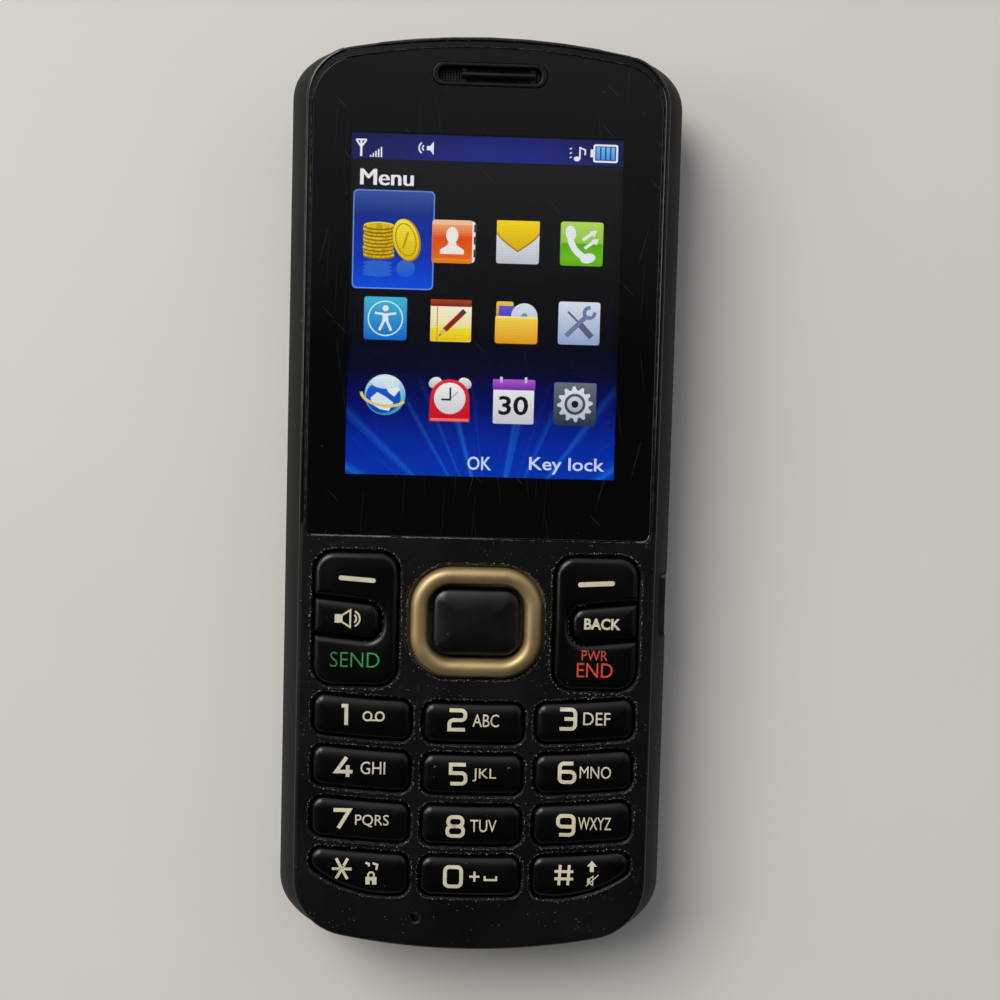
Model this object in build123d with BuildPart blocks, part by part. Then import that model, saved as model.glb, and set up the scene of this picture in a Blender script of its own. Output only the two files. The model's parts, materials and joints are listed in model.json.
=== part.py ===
from build123d import *
import os
from math import asin, atan2, cos, pi, sin, sqrt

# Bar-shaped feature phone lying on its back, face up. +Y runs to the earpiece end,
# +X to the right of someone reading the keys. The origin is at the middle of the back.
os.makedirs("parts", exist_ok=True)

# Body form: outlines stacked in height, each with straight sides and bowed ends
body_width = 46.0
body_length = 107.8
front_side_inset = 2.05
front_end_inset = 0.45
top_bow = 85.0
bottom_bow = 80.0
waist_corner_top = 5.2
waist_corner_bottom = 6.0
front_corner_top = 6.0
front_corner_bottom = 7.0
waist_height = 7.5
parting_height = 11.2
face_height = 12.6
back_edge_inset = 4.2
band_bulge = 0.2
wall = 1.2
overrun = 1.0
back_turn_share = (0, 0.28, 0.55, 0.78, 1)
band_rise_share = (0, 0.5, 1)

# Back half of the case and its sliding cover
cover_line = 3.0
cover_wall = 1.1
cover_gap = 0.1
cover_overlap = 5.3
deck_thickness = 1.2
rail_set_in = 3.35
rail_depth = 0.65
rail_root = 1.6
tab_lap = 0.7
tab_post = 0.55
tab_hook = 0.5
tab_hook_height = 0.5
tab_length = 4.0
tab_pitch = 22.0
rail_clearance = 0.2
grip_count = 5
grip_pitch = 1.8
grip_width = 0.7
grip_depth = 0.25
grip_set_in = 7.0
grip_bottom_margin = 12.9

# Battery and its bay
battery_set_in = 5.25
battery_length = 52.0
battery_bottom = 1.4
battery_top = 5.9
battery_corner = 1.2
battery_edge = 0.4
battery_middle = -5.2
bay_gap = 0.3
bay_wall = 0.8
bay_floor = 0.9
bay_seat = 0.1

# Circuit board
board_gap = 0.1
board_thickness = 0.9
board_inset = 1.9
board_hole_gap = 0.35

# Case screws: posts in the back half meet bosses of the front cover
screw_set_in_top = 7.8
screw_top_margin = 7.1
screw_set_in_bottom = 10.5
screw_bottom_margin = 4.7
screw_seat = 4.0
screw_head_radius = 1.4
screw_head_height = 0.8
screw_shank_radius = 0.8
screw_length = 5.0
screw_slot_length = 1.6
screw_slot_width = 0.4
screw_slot_depth = 0.4
screw_clearance = 0.2
post_radius = 2.3
post_rise = 1.0
boss_radius = 1.6
boss_gap = 0.05
pilot_clearance = 0.03
plug_gap = 0.05
plug_drop = 0.15
plug_height = 1.6

# Front cover
parting_gap = 0.1
front_edge_round = 0.55
lip_thickness = 0.8
lip_depth = 1.4
lip_gap = 0.1
lip_top_end = -4.0
lip_bottom_margin = 5.65
ledge_height = 11.73
ledge_underside = 10.6
ledge_end = -4.9
opening_chamfer = 0.2

# Display window
window_side_margin = 0.75
window_top_margin = 1.25
window_bottom = -4.25
window_corner_top = 5.4
window_corner_bottom = 0.8
window_drop = 0.05
window_gap = 0.05
window_edge_round = 0.15
adhesive_thickness = 0.12
adhesive_margin = 0.3

# Display module
screen_side_margin = 5.11
screen_bottom_margin = 7.15
screen_top_margin = 9.7
screen_reveal = 0.3
panel_side_margin = 1.86
panel_top_margin = 1.7
panel_bottom_margin = 3.7
panel_thickness = 1.4
panel_top = 10.3
tray_gap = 0.2
tray_wall = 0.55
tray_lift = 0.05
tray_rim_drop = 0.2
tray_notch = 13.0
gasket_width = 1.1
flex_width = 12.0
flex_thickness = 0.15
flex_reach = 2.2
connector_width = 13.0
connector_length = 2.0
connector_height = 0.8

# Earpiece
ear_top_margin = 4.3
ear_insert_width = 13.2
ear_insert_height = 2.6
ear_slot_width = 12.0
ear_slot_height = 1.8
ear_bar_left = -3.2
ear_bar_right = 5.2
ear_bar_height = 0.8
ear_bar_drop = 0.01
ear_rib = 0.5
ear_rise = 0.04
ear_gap = 0.05
ear_mesh_overlap = 0.5
ear_mesh_thickness = 0.2
receiver_width = 13.0
receiver_depth = 5.0
receiver_drop = 0.95
receiver_corner = 1.8
receiver_lift = 0.15
receiver_gap = 0.1

# Keypad: columns between straight sides, rows on a shallow common bow
key_gap = 0.25
key_crown = 13.05
key_edge_round = 0.75
key_corner = 1.25
key_flange_reach = 0.5
key_flange_height = 0.6
key_flange_gap = 0.1
key_travel = 0.3
column_inner = 7.4
column_side_margin = 2.1
middle_half = 5.87
row_bow = 187.0
row_first = -23.75
row_count = 4
row_gap = 1.41
keypad_bottom_margin = 6.59
end_key_lift = 3.25
end_key_belly = 0.75
end_key_turn_share = 0.6
pip_radius = 0.28
pip_length = 0.7
pip_rise = 0.12
pip_x = 4.7

# Function keys either side of the ring
rocker_inner = 9.2
rocker_side_margin = 1.95
rocker_top = -6.1
rocker_bottom = -21.85
rocker_corner = 2.3
rocker_edge_round = 0.8
rocker_gap = 0.2
rocker_flange_reach = 0.4
rocker_flange_gap = 0.4
small_key_inner = 11.3
small_key_top = -12.3
small_key_bottom = -16.4
small_key_slope = 0.8
small_key_corner = 1.5
small_key_gap = 0.3
small_key_drop = 0.1

# Navigation ring and centre key
pad_middle = -14.1
ring_width = 15.7
ring_height = 12.9
ring_corner = 4.8
ring_band = 2.1
ring_crown = 13.5
ring_edge_round = 0.9
ring_gap = 0.35
ring_flange_reach = 0.6
ring_flange_gap = 0.4
ring_flange_height = 0.4
carrier_gap = 0.3
carrier_thickness = 0.35
carrier_trim = 0.3
ok_width = 10.2
ok_height = 7.55
ok_corner = 1.7
ok_crown = 13.1
ok_edge_round = 0.6
ok_foot = 0.5

# Silicone keypad mat, domes and lamps
mat_bottom = 9.0
mat_top = 9.4
mat_side_margin = 1.65
mat_top_edge = -5.4
mat_bottom_margin = 6.25
mat_corner = 3.0
mat_skirt = 0.9
mat_gap = 0.1
pad_radius = 1.7
plunger_radius = 0.9
plunger_gap = 0.05
dome_radius = 2.0
dome_crown_radius = 1.3
dome_height = 0.25
ring_dome_x = 6.8
ring_dome_y = 5.4
rocker_dome_y = 5.1
lamp_length = 1.6
lamp_width = 0.8
lamp_height = 0.6

# Microphone under its hole beside the bottom row of keys
mic_x = -6.4
mic_bottom_margin = 3.95
mic_hole_width = 0.85
mic_hole_length = 1.3
mic_radius = 1.6
mic_height = 1.3
mic_boot_wall = 0.5
mic_boot_lift = 0.05
mic_boot_cap = 0.5
mic_gap = 0.05

# Headset socket in the top end
jack_set_in = 6.6
jack_z = 4.4
jack_radius = 1.8
jack_length = 14.0
jack_nose_radius = 2.3
jack_nose_length = 2.6
jack_top_margin = 1.3
jack_body_width = 6.0
jack_body_height = 5.1
jack_back_wall = 0.8
jack_gap = 0.1

# Charging socket in the right side
port_y = -12.0
port_width = 7.6
port_height = 2.5
port_depth = 5.2
port_shell = 0.3
port_corner = 0.6
port_gap = 0.12
port_recess = 0.4
port_tongue_width = 3.8
port_tongue_height = 0.6
port_tongue_length = 3.4

# Loudspeaker behind slots in the back
speaker_set_in = 11.4
speaker_offset = 6.0
speaker_width = 13.6
speaker_length = 8.2
speaker_height = 3.4
speaker_corner = 2.2
speaker_gasket_height = 0.4
speaker_gasket_width = 1.0
speaker_mesh_thickness = 0.15
speaker_spring_radius = 0.6
speaker_spring_x = 4.5
grille_count = 5
grille_pitch = 1.3
grille_slot_width = 0.7
grille_slot_length = 8.0

# Camera in the back
camera_top_margin = 11.4
camera_base = 7.0
camera_base_height = 3.6
camera_barrel_radius = 2.4
camera_barrel_height = 1.9
camera_lens_radius = 1.5
camera_lens_thickness = 0.6
camera_well_depth = 1.0
camera_window_radius = 3.3
camera_window_thickness = 0.6
camera_window_drop = 0.1
camera_hole_radius = 2.6
camera_gap = 0.05

# Vibration motor with its off-centre weight
motor_set_in = 14.4
motor_offset = 6.6
motor_z = 3.75
motor_radius = 2.3
motor_length = 8.0
motor_shaft_radius = 0.4
motor_shaft_depth = 3.0
motor_shaft_gap = 0.03
motor_cradle_width = 3.2
motor_cradle_height = 1.0
motor_cradle_gap = 0.05
weight_radius = 2.2
weight_length = 3.2
weight_gap = 0.4
weight_hub_radius = 0.9

# Volume key in the left side
volume_top_margin = 16.7
volume_z = 4.9
volume_length = 16.0
volume_height = 2.6
volume_corner = 1.2
volume_gap = 0.2
volume_flange_reach = 0.5
volume_flange_thickness = 0.5
volume_flange_set_back = 1.2
volume_switch_gap = 0.35
volume_switch_thickness = 0.5
volume_switch_margin = 0.3
volume_nub_radius = 0.6
volume_nub_height = 0.15
volume_nub_y = 5.5

# Battery contacts, radio shield and aerial
contact_width = 9.0
contact_depth = 3.4
contact_set_back = 0.9
contact_gap = 0.05
contact_finger = 0.9
contact_finger_height = 0.6
contact_pitch = 3.0
contact_slot_gap = 0.2
shield_height = 2.3
shield_sheet = 0.2
shield_width = 20.0
shield_bottom_margin = 8.4
shield_x = -7.0
shield_gap_top = 1.2
chip_size = 7.0
chip_height = 1.1
aerial_set_in = 10.8
aerial_gap_top = 1.2
aerial_width = 12.0
aerial_bottom_margin = 8.4
aerial_height = 2.1
aerial_strip = 1.4
aerial_sheet = 0.2

# Places that follow from the sizes above
front_width = body_width - 2 * front_side_inset
front_length = body_length - 2 * front_end_inset
body_side = body_width / 2
body_end = body_length / 2
front_side = front_width / 2
front_end = front_length / 2
rail_inner = body_side - rail_set_in
tab_inner = rail_inner - tab_lap
grip_reach = body_side - grip_set_in
battery_width = body_width - 2 * battery_set_in
bay_width = battery_width + 2 * bay_gap
bay_length = battery_length + 2 * bay_gap
bay_top_end = battery_middle + bay_length / 2
bay_low_end = battery_middle - bay_length / 2
cover_top = bay_top_end + cover_overlap
screw_x_top = body_side - screw_set_in_top
screw_x_bottom = body_side - screw_set_in_bottom
screw_y_top = body_end - screw_top_margin
screw_y_bottom = screw_bottom_margin - body_end
window_width = front_width - 2 * window_side_margin
window_top = front_end - window_top_margin
screen_width = front_width - 2 * screen_side_margin
screen_height = window_top - window_bottom - screen_top_margin - screen_bottom_margin
screen_middle = (window_top - screen_top_margin + window_bottom + screen_bottom_margin) / 2
panel_width = screen_width + 2 * panel_side_margin
ear_middle = front_end - ear_top_margin
receiver_middle = ear_middle - receiver_drop
column_outer = front_side - column_side_margin
rocker_outer = front_side - rocker_side_margin
mat_half_width = front_side - mat_side_margin
mat_bottom_edge = mat_bottom_margin - front_end
lip_bottom_end = lip_bottom_margin - front_end
grip_middle = grip_bottom_margin - body_end
keypad_low_end = keypad_bottom_margin - front_end
row_pitch = (row_first - keypad_low_end + row_gap) / row_count
row_height = row_pitch - row_gap
mic_y = mic_bottom_margin - front_end
jack_x = screw_x_top - jack_set_in
jack_mouth = front_end - jack_top_margin
camera_y = body_end - camera_top_margin
speaker_x = body_side - speaker_set_in
speaker_y = cover_top + speaker_offset
motor_x = motor_set_in - body_side
motor_y = cover_top + motor_offset
volume_y = body_end - volume_top_margin
aerial_low_end = aerial_bottom_margin - body_end
shield_low_end = shield_bottom_margin - body_end
aerial_x = body_side - aerial_set_in
aerial_length = bay_low_end - bay_wall - aerial_gap_top - aerial_low_end
aerial_y = (bay_low_end - bay_wall - aerial_gap_top + aerial_low_end) / 2
shield_length = bay_low_end - bay_wall - shield_gap_top - shield_low_end
shield_y = (bay_low_end - bay_wall - shield_gap_top + shield_low_end) / 2

# Levels that follow from the sizes above
bay_ceiling = battery_top + bay_seat
board_bottom = bay_ceiling + bay_floor + board_gap
board_top = board_bottom + board_thickness
deck_top = cover_line + deck_thickness
post_top = screw_seat + post_rise
plate_bottom = parting_height + parting_gap
window_underside = ledge_height + adhesive_thickness
window_face = face_height - window_drop
flange_top = parting_height - key_flange_gap
cap_bottom = flange_top - key_flange_height
pad_top = cap_bottom - key_travel - mat_gap
ring_flange_top = plate_bottom - ring_flange_gap
ring_bottom = ring_flange_top - ring_flange_height
rocker_flange_top = plate_bottom - rocker_flange_gap
rocker_bottom_height = rocker_flange_top - key_flange_height
carrier_top = ring_bottom - carrier_gap
ok_bottom = ring_bottom - ok_foot
dome_top = board_top + dome_height
panel_bottom = panel_top - panel_thickness
panel_length = screen_height + panel_top_margin + panel_bottom_margin
panel_middle = screen_middle + (panel_top_margin - panel_bottom_margin) / 2
panel_low_end = panel_middle - panel_length / 2
tray_width = panel_width + 2 * (tray_gap + tray_wall)
tray_length = panel_length + 2 * (tray_gap + tray_wall)


def save(piece, name):
    """Label a finished piece with its name and write it out."""
    piece.label = name
    export_step(piece, f"parts/{name}.step")


def outline(half_width, reach_top, reach_bottom, bow_top, bow_bottom, corner_top, corner_bottom):
    """Outline with straight sides, bowed ends and tangent corner arcs."""
    bends = []
    for reach, bow, corner in (
        (reach_top, bow_top, corner_top),
        (reach_bottom, bow_bottom, corner_bottom),
    ):
        corner_x = half_width - corner
        rise = sqrt((bow - corner) ** 2 - corner_x**2)
        corner_y = reach - bow + rise
        turn = atan2(rise, corner_x)
        middle = (corner_x + corner * cos(turn / 2), corner_y + corner * sin(turn / 2))
        touch = (corner_x + corner * cos(turn), corner_y + corner * sin(turn))
        bends.append((corner_y, middle, touch))
    (top_y, top_middle, top_touch), (low_y, low_middle, low_touch) = bends
    with BuildSketch() as profile:
        with BuildLine():
            Line((half_width, -low_y), (half_width, top_y))
            ThreePointArc((half_width, top_y), top_middle, top_touch)
            ThreePointArc(top_touch, (0, reach_top), (-top_touch[0], top_touch[1]))
            ThreePointArc(
                (-top_touch[0], top_touch[1]), (-top_middle[0], top_middle[1]), (-half_width, top_y)
            )
            Line((-half_width, top_y), (-half_width, -low_y))
            ThreePointArc(
                (-half_width, -low_y), (-low_middle[0], -low_middle[1]), (-low_touch[0], -low_touch[1])
            )
            ThreePointArc(
                (-low_touch[0], -low_touch[1]), (0, -reach_bottom), (low_touch[0], -low_touch[1])
            )
            ThreePointArc(
                (low_touch[0], -low_touch[1]), (low_middle[0], -low_middle[1]), (half_width, -low_y)
            )
        make_face()
    return profile.sketch


def case_face(rise_share, inset):
    """Case outline between the waist (0) and the front cover (1), drawn in by inset."""
    half_width = (body_width + (front_width - body_width) * rise_share) / 2 - inset
    reach = (body_length + (front_length - body_length) * rise_share) / 2 - inset
    corner_top = waist_corner_top + (front_corner_top - waist_corner_top) * rise_share - inset
    corner_bottom = (
        waist_corner_bottom + (front_corner_bottom - waist_corner_bottom) * rise_share - inset
    )
    return outline(
        half_width, reach, reach, top_bow - inset, bottom_bow - inset, corner_top, corner_bottom
    )


def case_form(inset, floor):
    """Solid with the form of the back half, drawn in by inset, from floor to the parting."""
    whole_turn = asin(1 - floor / waist_height)
    with BuildPart() as form:
        for share in back_turn_share:
            turn = whole_turn * share
            with BuildSketch(Plane.XY.offset(waist_height * (1 - sin(turn)))):
                add(case_face(0, inset + back_edge_inset * (1 - cos(turn))))
        loft()
        for share in band_rise_share:
            with BuildSketch(Plane.XY.offset(waist_height + (parting_height - waist_height) * share)):
                add(case_face(share, inset - band_bulge * sin(pi * share)))
        loft()
    return form.part


def block(width, length, low, high, x=0, y=0, corner=0):
    """Upright block between two heights, its upright edges rounded where corner is given."""
    with BuildPart() as body:
        with BuildSketch(Plane.XY.offset(low)):
            with Locations((x, y)):
                if corner:
                    RectangleRounded(width, length, corner)
                else:
                    Rectangle(width, length)
        extrude(amount=high - low)
    return body.part


def rod(radius, low, high, places=((0, 0),)):
    """Upright round bars between two heights, one at each place."""
    with BuildPart() as bars:
        with BuildSketch(Plane.XY.offset(low)):
            with Locations(*places):
                Circle(radius)
        extrude(amount=high - low)
    return bars.part


outer_form = case_form(0, 0)
inner_form = case_form(wall, wall)
top_screws = ((-screw_x_top, screw_y_top), (screw_x_top, screw_y_top))
bottom_screws = ((-screw_x_bottom, screw_y_bottom), (screw_x_bottom, screw_y_bottom))
screws = top_screws + bottom_screws

# Back half of the case: side band, deck over the cover, battery bay and posts
step_end = cover_top + cover_gap + deck_thickness
cover_room = block(
    body_width + overrun, body_length, -overrun, cover_line, y=cover_top + cover_gap - body_length / 2
)
with BuildPart() as shelf_form:
    add(outer_form)
    add(
        block(body_width, body_length, cover_line, deck_top, y=step_end - body_length / 2),
        mode=Mode.INTERSECT,
    )
with BuildPart() as step_form:
    add(outer_form)
    add(
        block(body_width, deck_thickness, -overrun, deck_top, y=step_end - deck_thickness / 2),
        mode=Mode.INTERSECT,
    )
with BuildPart() as rear_housing:
    add(outer_form)
    add(inner_form, mode=Mode.SUBTRACT)
    add(shelf_form.part)
    add(step_form.part)
    add(cover_room, mode=Mode.SUBTRACT)
    bay_shell_width = bay_width + 2 * bay_wall
    bay_shell_length = bay_length + 2 * bay_wall
    bay_roof = bay_ceiling + bay_floor
    add(block(bay_shell_width, bay_shell_length, cover_line, bay_roof, y=battery_middle))
    add(
        block(bay_width, bay_length, cover_line - overrun, bay_ceiling, y=battery_middle),
        mode=Mode.SUBTRACT,
    )
    # Posts for the case screws, open from behind
    add(rod(post_radius, wall, post_top, top_screws))
    add(rod(post_radius, deck_top, post_top, bottom_screws))
    add(rod(screw_head_radius + screw_clearance, -overrun, screw_seat, screws), mode=Mode.SUBTRACT)
    add(rod(screw_shank_radius + screw_clearance, wall, post_top + overrun, screws), mode=Mode.SUBTRACT)
    # Hooked tabs that the cover slides on
    tab_bottom = cover_line - cover_gap - rail_depth - rail_clearance - tab_hook_height
    hook_top = tab_bottom + tab_hook_height
    for side in (-1, 1):
        with BuildSketch(Plane.XY.offset(tab_bottom)):
            with Locations((side * (tab_inner + tab_post / 2), battery_middle)):
                with GridLocations(0, tab_pitch, 1, 3):
                    Rectangle(tab_post, tab_length)
        extrude(amount=deck_top - tab_bottom)
        with BuildSketch(Plane.XY.offset(tab_bottom)):
            with Locations((side * (tab_inner + (tab_post + tab_hook) / 2), battery_middle)):
                with GridLocations(0, tab_pitch, 1, 3):
                    Rectangle(tab_post + tab_hook, tab_length)
        extrude(amount=hook_top - tab_bottom)
    # Window for the battery contacts
    finger_low = deck_top + contact_gap
    add(
        block(
            contact_width,
            2 * bay_wall,
            finger_low - contact_gap,
            finger_low + contact_finger_height + contact_slot_gap,
            y=bay_top_end + bay_wall / 2,
        ),
        mode=Mode.SUBTRACT,
    )
    # Camera hole with a seat for its window
    camera_seat = camera_window_drop + camera_window_thickness + camera_gap
    add(rod(camera_hole_radius, -overrun, 2 * wall, ((0, camera_y),)), mode=Mode.SUBTRACT)
    add(
        rod(camera_window_radius + camera_gap, -overrun, camera_seat, ((0, camera_y),)),
        mode=Mode.SUBTRACT,
    )
    # Slots for the loudspeaker
    with BuildSketch():
        with Locations((speaker_x, speaker_y)):
            with GridLocations(0, grille_pitch, 1, grille_count):
                SlotOverall(grille_slot_length, grille_slot_width)
    extrude(amount=2 * wall, mode=Mode.SUBTRACT)
    # Cradle for the vibration motor
    add(
        block(
            motor_cradle_width,
            motor_length,
            wall,
            wall + motor_cradle_height,
            x=motor_x,
            y=motor_y,
        )
    )
    with BuildSketch(Plane.XZ.offset(-motor_y)):
        with Locations((motor_x, motor_z)):
            Circle(motor_radius + motor_cradle_gap)
    extrude(amount=motor_length / 2 + motor_cradle_gap, both=True, mode=Mode.SUBTRACT)
    # Holes in the sides for the headset socket, charging socket and volume key
    with BuildSketch(Plane.XZ.offset(-body_length / 2 - overrun)):
        with Locations((jack_x, jack_z)):
            Circle(jack_nose_radius + jack_gap)
    extrude(amount=body_length / 2 + 2 * overrun - jack_mouth + jack_nose_length, mode=Mode.SUBTRACT)
    with BuildSketch(Plane.YZ.offset(body_width / 2 - 2 * wall)):
        with Locations((port_y, board_bottom + port_height / 2)):
            RectangleRounded(port_width + 2 * port_gap, port_height + 2 * port_gap, port_corner)
    extrude(amount=2 * wall + overrun, mode=Mode.SUBTRACT)
    with BuildSketch(Plane.YZ.offset(-body_width / 2 - overrun)):
        with Locations((volume_y, volume_z)):
            RectangleRounded(
                volume_length + 2 * volume_gap, volume_height + 2 * volume_gap, volume_corner
            )
    extrude(amount=2 * wall + overrun, mode=Mode.SUBTRACT)
save(rear_housing.part, "rear_housing")

# Battery cover: the lower part of the back, with rails under the tabs
cover_inner = case_form(cover_wall, cover_wall)
with BuildPart() as battery_cover:
    add(outer_form)
    add(cover_inner, mode=Mode.SUBTRACT)
    add(
        block(
            body_width + overrun, body_length, 0, cover_line - cover_gap, y=cover_top - body_length / 2
        ),
        mode=Mode.INTERSECT,
    )
    for side in (-1, 1):
        add(
            block(
                rail_root,
                battery_length,
                cover_line - cover_gap - rail_depth,
                cover_line - cover_gap,
                x=side * (rail_inner + rail_root / 2),
                y=battery_middle,
            )
        )
    with BuildSketch():
        with Locations((0, grip_middle)):
            with GridLocations(0, grip_pitch, 1, grip_count):
                SlotOverall(grip_reach, grip_width)
    extrude(amount=grip_depth, mode=Mode.SUBTRACT)
save(battery_cover.part, "battery_cover")


def window_outline(inset):
    """Window outline: bowed top, straight sides and a straight lower edge."""
    with BuildSketch() as profile:
        add(
            outline(
                window_width / 2 - inset,
                window_top - inset,
                window_top - inset,
                top_bow - inset,
                bottom_bow - inset,
                window_corner_top - inset,
                window_corner_top - inset,
            )
        )
        with Locations((0, window_bottom + inset)):
            Rectangle(
                body_width, body_length, align=(Align.CENTER, Align.MAX), mode=Mode.SUBTRACT
            )
        fillet(profile.vertices().group_by(Axis.Y)[0], window_corner_bottom - inset)
    return profile.sketch


def row_edge(x, level):
    """Y of a bowed row edge at x, where level is its lowest place, at the middle."""
    return level + row_bow - sqrt(row_bow**2 - x**2)


def digit_outline(column, row, grow):
    """Outline of the number key in a column (-1, 0, 1) and row, widened all round by grow."""
    side = column if column else 1
    near = column_inner - grow if column else -middle_half - grow
    far = column_outer + grow if column else middle_half + grow
    middle = (near + far) / 2
    top = row_first - row_pitch * row + grow
    low = top - row_height - 2 * grow
    low_turn = (side * middle, row_edge(middle, low))
    low_far = (side * far, row_edge(far, low))
    if column and row == len(key_rows) - 1:
        low_turn = (side * (near + (far - near) * end_key_turn_share), low + end_key_belly)
        low_far = (side * far, low + end_key_lift)
    with BuildSketch() as profile:
        with BuildLine():
            ThreePointArc(
                (side * near, row_edge(near, top)),
                (side * middle, row_edge(middle, top)),
                (side * far, row_edge(far, top)),
            )
            Line((side * far, row_edge(far, top)), low_far)
            ThreePointArc(low_far, low_turn, (side * near, row_edge(near, low)))
            Line((side * near, row_edge(near, low)), (side * near, row_edge(near, top)))
        make_face()
        fillet(profile.vertices(), key_corner + grow)
    return profile.sketch


def rocker_outline(side, grow):
    """Outline of the function key group on one side, widened all round by grow."""
    with BuildSketch() as profile:
        with Locations((side * (rocker_inner + rocker_outer) / 2, (rocker_top + rocker_bottom) / 2)):
            RectangleRounded(
                rocker_outer - rocker_inner + 2 * grow,
                rocker_top - rocker_bottom + 2 * grow,
                rocker_corner + grow,
            )
    return profile.sketch


def small_key_outline(side, grow):
    """Outline of the small middle key, open past the outer edge of its group."""
    reach = rocker_outer + overrun - small_key_inner
    climb = small_key_slope * reach / (rocker_outer - small_key_inner)
    near = small_key_inner - grow
    far = small_key_inner + reach
    with BuildSketch() as profile:
        with BuildLine():
            Polyline(
                (side * near, small_key_top + grow),
                (side * far, small_key_top + climb + grow),
                (side * far, small_key_bottom + climb - grow),
                (side * near, small_key_bottom - grow),
                close=True,
            )
        make_face()
        fillet(
            profile.vertices().filter_by_position(Axis.X, side * near, side * near),
            small_key_corner + grow,
        )
    return profile.sketch


def pad_outline(grow):
    """Outline of the navigation ring, widened all round by grow."""
    with BuildSketch() as profile:
        with Locations((0, pad_middle)):
            RectangleRounded(ring_width + 2 * grow, ring_height + 2 * grow, ring_corner + grow)
    return profile.sketch


def key_cap(cap_outline, flange_outline, low, flange_end, crown, edge_round):
    """Key cap with a rounded crown, and a flange that stays under the front cover."""
    with BuildPart() as cap:
        with BuildSketch(Plane.XY.offset(low)):
            add(cap_outline)
        extrude(amount=crown - low)
        fillet(cap.faces().sort_by(Axis.Z)[-1].edges(), edge_round)
        with BuildSketch(Plane.XY.offset(low)):
            add(flange_outline)
        extrude(amount=flange_end - low)
    return cap.part


key_rows = (
    ("key_1", "key_2", "key_3"),
    ("key_4", "key_5", "key_6"),
    ("key_7", "key_8", "key_9"),
    ("key_star", "key_0", "key_hash"),
)
columns = (-1, 0, 1)
column_middle = (column_inner + column_outer) / 2
rocker_middle = (rocker_inner + rocker_outer) / 2
small_key_x = (small_key_inner + rocker_outer) / 2
small_key_y = (small_key_top + small_key_bottom + small_key_slope) / 2
screen_opening = (screen_width + 2 * screen_reveal, screen_height + 2 * screen_reveal)
mic_boot_radius = mic_radius + mic_gap + mic_boot_wall

# Front cover: face plate with a rim round the window and an opening for every key
with BuildPart() as front_cover:
    with BuildSketch(Plane.XY.offset(plate_bottom)):
        add(case_face(1, 0))
    extrude(amount=face_height - plate_bottom)
    fillet(front_cover.faces().sort_by(Axis.Z)[-1].edges(), front_edge_round)
    # Ledge that carries the window and presses on the display gasket
    with BuildSketch(Plane.XY.offset(ledge_underside)):
        add(case_face(1, wall + lip_gap))
        with Locations((0, ledge_end)):
            Rectangle(
                body_width, body_length, align=(Align.CENTER, Align.MAX), mode=Mode.SUBTRACT
            )
    extrude(amount=plate_bottom - ledge_underside)
    # Lip inside the side band, left away beside the keys
    with BuildSketch(Plane.XY.offset(plate_bottom - lip_depth)):
        add(case_face(1, wall + lip_gap))
        add(case_face(1, wall + lip_gap + lip_thickness), mode=Mode.SUBTRACT)
        with Locations((0, lip_top_end)):
            Rectangle(
                body_width,
                lip_top_end - lip_bottom_end,
                align=(Align.CENTER, Align.MAX),
                mode=Mode.SUBTRACT,
            )
    extrude(amount=lip_depth)
    # Screw bosses with their pilot holes
    add(rod(boss_radius, post_top + boss_gap, plate_bottom, screws))
    add(
        rod(
            screw_shank_radius + pilot_clearance,
            post_top,
            screw_seat + screw_length + screw_clearance,
            screws,
        ),
        mode=Mode.SUBTRACT,
    )
    # Recess for the window, then the opening over the screen
    with BuildSketch(Plane.XY.offset(ledge_height)):
        add(window_outline(-window_gap))
    extrude(amount=face_height - ledge_height + overrun, mode=Mode.SUBTRACT)
    add(block(*screen_opening, ledge_underside - overrun, face_height, y=screen_middle), mode=Mode.SUBTRACT)
    # Earpiece slot with a seat for its mesh
    with BuildSketch(Plane.XY.offset(ledge_underside - overrun)):
        with Locations((0, ear_middle)):
            SlotOverall(ear_slot_width, ear_slot_height)
    extrude(amount=face_height - ledge_underside + overrun, mode=Mode.SUBTRACT)
    with BuildSketch(Plane.XY.offset(ledge_height - ear_mesh_thickness)):
        with Locations((0, ear_middle)):
            SlotOverall(
                ear_slot_width + 2 * (ear_mesh_overlap + ear_gap),
                ear_slot_height + 2 * (ear_mesh_overlap + ear_gap),
            )
    extrude(amount=face_height - ledge_height + ear_mesh_thickness, mode=Mode.SUBTRACT)
    # Room for the microphone boot, and its hole
    add(
        rod(mic_boot_radius + mic_gap, plate_bottom - lip_depth, plate_bottom, ((mic_x, mic_y),)),
        mode=Mode.SUBTRACT,
    )
    with BuildSketch(Plane.XY.offset(plate_bottom - overrun)):
        with Locations((mic_x, mic_y)):
            SlotOverall(mic_hole_length, mic_hole_width, rotation=90)
        for row in range(len(key_rows)):
            for column in columns:
                add(digit_outline(column, row, key_gap))
        for side in (-1, 1):
            add(rocker_outline(side, rocker_gap))
        add(pad_outline(ring_gap))
    extrude(amount=face_height - plate_bottom + 2 * overrun, mode=Mode.SUBTRACT)
    rims = front_cover.faces().sort_by(Axis.Z)[-1].inner_wires().sort_by(SortBy.LENGTH)[:-1]
    chamfer([edge for rim in rims for edge in rim.edges()], opening_chamfer)
save(front_cover.part, "front_cover")

# Display window, held by a frame of adhesive film
with BuildPart() as display_window:
    with BuildSketch(Plane.XY.offset(window_underside)):
        add(window_outline(0))
    extrude(amount=window_face - window_underside)
    fillet(display_window.faces().sort_by(Axis.Z)[-1].edges(), window_edge_round)
    with BuildSketch(Plane.XY.offset(window_underside)):
        with Locations((0, ear_middle)):
            SlotOverall(ear_insert_width + 2 * ear_gap, ear_insert_height + 2 * ear_gap)
    extrude(amount=window_face - window_underside, mode=Mode.SUBTRACT)
save(display_window.part, "display_window")

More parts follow.
